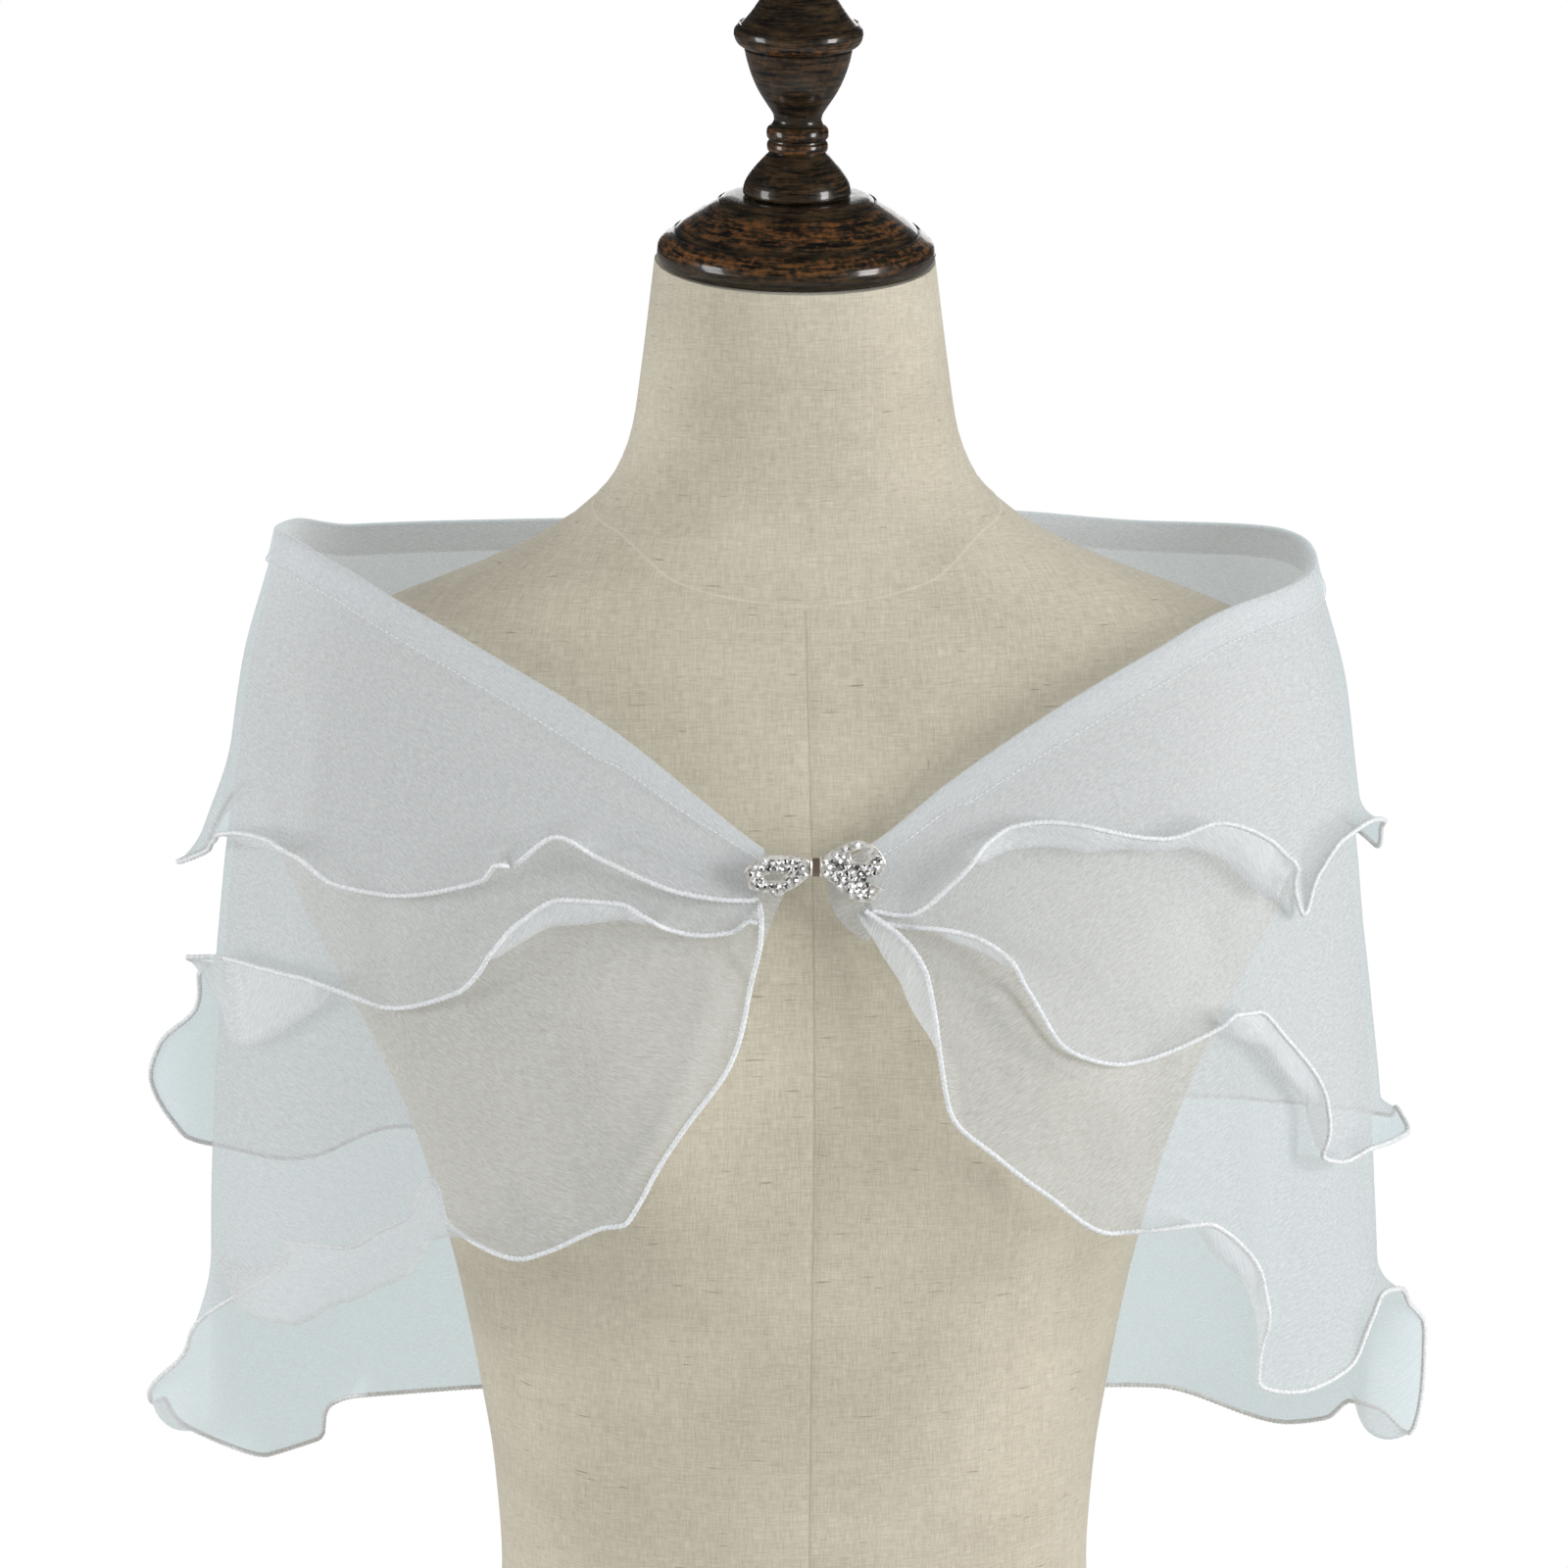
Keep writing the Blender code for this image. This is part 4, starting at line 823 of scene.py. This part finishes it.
def buildStole():
    cloth = sheerMaterial("sheerChiffon", (0.7, 0.725, 0.742), 0.47, 0.11)
    folded = sheerMaterial("foldedChiffon", (0.75, 0.78, 0.8), 0.42, 0.08)
    thread = threadMaterial()
    for tier in (tierLong, tierMiddle, tierShort):
        turns = stationTurns(tier)
        rows = tierPoints(tier, turns)
        piece = clothPiece(tier["node"] + "_chiffon", rows)
        dress(piece, cloth, "sheer_cloth", tier["node"])
        sewn = (turns >= clothShape["sewnFrom"]) & (turns <= clothShape["sewnTo"])
        hem = hemThread(tier["node"] + "_hem", rows[-1][sewn], thread)
        print(tier["node"] + ":", len(piece.data.polygons), "faces")
    # the band is folded over the top edge of the outer tier
    outer = rows[:clothShape["rows"][0] + 1]
    away = outward(turns, topHeight(turns))
    outerLeaf = outer + away * clothShape["seamStep"] * bandShape["outer"]
    fold = rows[0] + away * 0.1 + (0, 0, bandShape["over"])
    innerLeaf = outer[::-1] - away * clothShape["seamStep"] * bandShape["inner"]
    piece = clothPiece("top_band_chiffon", np.concatenate([innerLeaf, fold[None], outerLeaf]))
    dress(piece, folded, "sheer_cloth", "top_band")
    stitches = bandStitches(outerLeaf[-1], thread)
    print("band:", len(piece.data.polygons), "faces")


# the clasp

claspShape = {
    "height": 528, "backY": -116, "plate": 2.4, "rim": 0.3, "dome": 1.3, "domeMiddle": 13.5,
    "stoneRadius": 1.15, "stoneTop": 0.52, "stonePitch": 2.4, "stoneRise": 1, "stoneSink": 0.3,
    "edgeRoom": 1, "beadRoom": 0.7, "beadRadius": 0.3, "beadSink": 0.25, "tilt": 0.1,
    "roundness": 0.6, "smoothAngle": 35, "knot": (4, 4.4, 7.6), "knotRim": 0.75, "knotHollow": 0.5,
    "knotBack": 1.4, "knotBevel": 0.22, "seed": 7,
    "left": [
        (-2.4, 2.6), (-8.3, 4.4), (-14.2, 4.7), (-19.3, 3.7), (-23, 1.3), (-25.2, -1.4), (-24, -4.2),
        (-23.2, -7.4), (-18.6, -8.2), (-13.8, -10.4), (-10.6, -8.4), (-6.4, -6.2), (-2.4, -2.6),
    ],
    "leftSlot": [(-11.6, -2.4), (-15.4, -1.8), (-18.6, -2.6), (-17.4, -4.4), (-12.8, -4.2)],
    "right": [
        (2.4, 2.6), (5.6, 5.8), (11, 8.6), (15.6, 9.6), (20.2, 7.8), (23.2, 4.6), (24.6, 0.8), (22.6, -2.8),
        (17.6, -4.8), (24.2, -8.2), (21.2, -9.6), (20.2, -12.4), (15.2, -12.2), (10, -9.6), (5.8, -5.6),
        (2.4, -2.6),
    ],
    "rightSlot": [(12.4, 2.8), (12.4, 5.6), (15.4, 6.6), (18, 5.4), (18.4, 3), (15.8, 1.6)],
}


def depthInside(point, outline):
    # how far a point lies inside an outline, minus outside it
    (x, y), outline = point, np.array(outline)
    best, side = 1e9, -1
    for a, b in zip(outline, np.roll(outline, -1, 0)):
        t = np.clip((point - a) @ (b - a) / ((b - a) @ (b - a)), 0, 1)
        best = min(best, np.linalg.norm(point - a - (b - a) * t))
        if (a[1] > y) != (b[1] > y) and x < (b[0] - a[0]) * (y - a[1]) / (b[1] - a[1]) + a[0]:
            side = -side
    return best * side


def domeAt(x):
    # each half of the bow swells towards the front in its middle
    t = abs(x) / claspShape["domeMiddle"] - 1
    return claspShape["dome"] * max(0, 1 - t * t)


def buildPlate(name, half, material, cadNode):
    shape = claspShape
    curve = bpy.data.curves.new(name, "CURVE")
    curve.dimensions, curve.fill_mode = "2D", "BOTH"
    curve.extrude = shape["plate"] / 2 - shape["rim"]
    curve.bevel_depth, curve.bevel_resolution, curve.offset = shape["rim"], 2, -shape["rim"]
    for rows, between in ((shape[half], 3), (shape[half + "Slot"], 4)):
        ring = np.array(rows)
        after = np.roll(ring, -1, 0)
        slope = (after - np.roll(ring, 1, 0)) / 2 * shape["roundness"]
        points = [bent(*ends, t) for ends in zip(ring, after, slope, np.roll(slope, -1, 0))
                  for t in np.arange(between) / between]
        spline = curve.splines.new("POLY")
        spline.points.add(len(points) - 1)
        for target, point in zip(spline.points, points):
            target.co = (*point, 0, 1)
        spline.use_cyclic_u = True
    selectOnly(newObject(name, curve))
    bpy.ops.object.convert(target="MESH")
    plate = takeActive(name)
    for vertex in plate.data.vertices:
        vertex.co.z += domeAt(vertex.co.x)
    place = Vector((0, shape["backY"] - shape["plate"] / 2, shape["height"])) * mm
    upright = Matrix.Rotation(math.radians(90), 4, "X")
    plate.data.transform(Matrix.Translation(place) @ upright @ Matrix.Scale(mm, 4))
    smoothByAngle(plate, shape["smoothAngle"])
    dress(plate, material, "silver", cadNode)


def stonePlaces():
    # stones in close rows over both halves with claws between them, clear of their edges and slots
    shape = claspShape
    pitch = shape["stonePitch"]
    stones, beads = [], []
    for half in ("left", "right"):
        for row in range(-10, 9):
            for i in range(-17, 18):
                x, y = (i + 0.5 * (row % 2)) * pitch, row * pitch * 0.866
                for kind, point, room in ((stones, (x, y), shape["edgeRoom"]),
                                          (beads, (x + pitch / 2, y + pitch * 0.29), shape["beadRoom"])):
                    clear = min(depthInside(point, shape[half]), -depthInside(point, shape[half + "Slot"]))
                    if clear > room:
                        kind.append(point)
    return stones, beads


def buildKnot(material):
    # the plain ring round the bow's middle
    shape = claspShape
    knot = primitive("bow_knot", bpy.ops.mesh.primitive_cylinder_add, vertices=40, radius=0.5, depth=1,
                     rotation=(0, math.pi / 2, 0))
    bpy.ops.object.transform_apply(rotation=True)
    knot.data.transform(Matrix.Diagonal((*shape["knot"], 1)))
    bpy.ops.object.mode_set(mode="EDIT")
    bpy.ops.mesh.select_all(action="DESELECT")
    cage = bmesh.from_edit_mesh(knot.data)
    for face in cage.faces:
        face.select_set(len(face.verts) == 4)
    bmesh.update_edit_mesh(knot.data)
    bpy.ops.mesh.inset(thickness=shape["knotRim"], depth=-shape["knotHollow"], use_boundary=True)
    bpy.ops.object.mode_set(mode="OBJECT")
    # painted shade: the knot's sunken faces are marked to be painted dark brown
    setNumber(knot, "recessShade", [face.select for face in knot.data.polygons], "FACE")
    bevel = knot.modifiers.new("edges", "BEVEL")
    bevel.width, bevel.segments, bevel.limit_method = shape["knotBevel"], 3, "ANGLE"
    bpy.ops.object.modifier_apply(modifier="edges")
    place = Vector((0, shape["backY"] - shape["knotBack"], shape["height"])) * mm
    knot.data.transform(Matrix.Translation(place) @ Matrix.Scale(mm, 4))
    smoothByAngle(knot, shape["smoothAngle"])
    dress(knot, material, "silver", "clasp_knot")


def buildClasp():
    shape = claspShape
    silver = silverMaterial()
    buildPlate("bow_left_plate", "left", silver, "clasp_bow_left")
    buildPlate("bow_right_plate", "right", silver, "clasp_bow_right")
    stones, beads = stonePlaces()
    faceY = shape["backY"] - shape["plate"]
    draw = np.random.default_rng(shape["seed"])

    def faceMatrices(points, sink):
        out = []
        for x, y in points:
            slope = (domeAt(x + 0.1) - domeAt(x - 0.1)) / 0.2
            tilt = Matrix.Rotation(-math.atan(slope) + draw.normal(0, shape["tilt"]), 4, "Z")
            lean = Matrix.Rotation(math.radians(90) + draw.normal(0, shape["tilt"]), 4, "X")
            turn = Matrix.Rotation(draw.uniform(0, math.tau), 4, "Z")
            place = Matrix.Translation((x, faceY - domeAt(x) - sink, shape["height"] + y))
            out.append(place @ tilt @ lean @ turn)
        return out

    radius, rise = shape["stoneRadius"], shape["stoneRise"]
    unit = primitive("stone", bpy.ops.mesh.primitive_cone_add, vertices=6, radius1=radius,
                     radius2=radius * shape["stoneTop"], depth=rise)
    gems = repeated("bow_stones", unit, faceMatrices(stones, rise * shape["stoneSink"]), smooth=False)
    # painted sparkle: a random share from black to white for each facet
    setNumber(gems, "paintedSparkle", draw.beta(0.3, 0.26, len(gems.data.polygons)), "FACE")
    dress(gems, stoneMaterial(), "silver")
    unit = primitive("bead", bpy.ops.mesh.primitive_ico_sphere_add, subdivisions=1, radius=shape["beadRadius"])
    claws = repeated("bow_claws", unit, faceMatrices(beads, shape["beadSink"]))
    dress(claws, silver, "silver")
    buildKnot(silver)
    for name in ("clasp_jaw_left", "clasp_jaw_right"):
        paint(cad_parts[name], silver)
    print("clasp:", len(stones), "stones,", len(beads), "claws")


# the studio

studio = {
    "camera": {"target": (-0.004, 0, 0.539), "distance": 1.9, "pitch": 9, "azimuth": 3.5, "lens": 117},
    "floorSize": 40, "whiteFrom": 0.35, "whiteTo": 0.72, "floorLight": 0.5, "floorGloss": 0.2,
    "skyLight": 0.5, "skyGloss": 0.05, "backdropShade": (0.68, 0.8, 0.82), "lampsAim": (0, 0, 0.55),
    "lamps": [  # name, place, size, watts
        ("softRight", (1.9, -1.25, 0.87), (0.7, 1.2), 35),
        ("softLeft", (-2.05, -0.55, 0.78), (0.7, 1.2), 21),
        ("rear", (0.3, 2.1, 1.1), (1.4, 1), 9),
    ],
}


def aimed(name, data, place, way):
    # a camera or a lamp at its place, looking that way
    holder = newObject(name, data)
    holder.location, holder.rotation_euler = place, way.to_track_quat("-Z", "Y").to_euler()
    return holder


def whiteStrength(tree, path, light, gloss):
    # full for the eye, less for the light that it throws and for reflections
    thrown = spread(tree, path["Is Glossy Ray"], 0, 1, light, gloss)
    return maths(tree, "MAXIMUM", thrown, path["Is Camera Ray"])


def buildStudio():
    look = studio["camera"]
    pitch, azimuth = math.radians(look["pitch"]), math.radians(look["azimuth"])
    ahead = Vector((math.sin(azimuth) * math.cos(pitch), math.cos(azimuth) * math.cos(pitch), -math.sin(pitch)))
    camera = aimed("camera", bpy.data.cameras.new("camera"), Vector(look["target"]) - ahead * look["distance"],
                   ahead)
    camera.data.lens, camera.data.sensor_width = look["lens"], 36
    bpy.context.scene.camera = camera
    for name, place, size, watts in studio["lamps"]:
        lamp = bpy.data.lights.new(name, "AREA")
        lamp.shape, lamp.size, lamp.size_y, lamp.energy = "RECTANGLE", *size, watts
        aimed(name, lamp, place, Vector(studio["lampsAim"]) - Vector(place))

    # white surroundings
    world = bpy.data.worlds.new("studio")
    bpy.context.scene.world = world
    world.use_nodes = True
    tree = world.node_tree
    path = node(tree, "ShaderNodeLightPath").outputs
    sky = tree.nodes["Background"].inputs
    connect(tree, sky["Color"], (1, 1, 1))
    connect(tree, sky["Strength"], whiteStrength(tree, path, studio["skyLight"], studio["skyGloss"]))
    bpy.context.scene.view_settings.view_transform = "Standard"

    # a pale floor that turns white away from the form
    floor = primitive("floor", bpy.ops.mesh.primitive_plane_add, size=studio["floorSize"])
    material, tree = newMaterial("paleFloor", Roughness=0.8, Base_Color=(0.86, 0.86, 0.86))
    away = node(tree, "ShaderNodeVectorMath", {0: ownPlace(tree)}, operation="LENGTH").outputs["Value"]
    path = node(tree, "ShaderNodeLightPath").outputs
    # behind cloth the backdrop looks as it does in the shade, pale blue grey
    shade = mixColour(tree, spread(tree, path["Transparent Depth"], 0, 1), (1, 1, 1), studio["backdropShade"])
    strength = whiteStrength(tree, path, studio["floorLight"], studio["floorGloss"])
    glow = node(tree, "ShaderNodeEmission", {"Color": shade, "Strength": strength}).outputs[0]
    share = spread(tree, away, studio["whiteFrom"], studio["whiteTo"])
    mix = node(tree, "ShaderNodeMixShader", {0: share, 1: tree.nodes["Principled BSDF"].outputs[0], 2: glow})
    connect(tree, tree.nodes["Material Output"].inputs["Surface"], mix.outputs[0])
    paint(floor, material)
    print("studio ready")


buildStudio()
buildTorso()
wood = woodMaterial()
turnPiece("neck_cap_wood", "cap", wood, "form_neck_cap")
turnPiece("finial_wood", "finial", wood, "form_finial")
buildStole()
buildClasp()
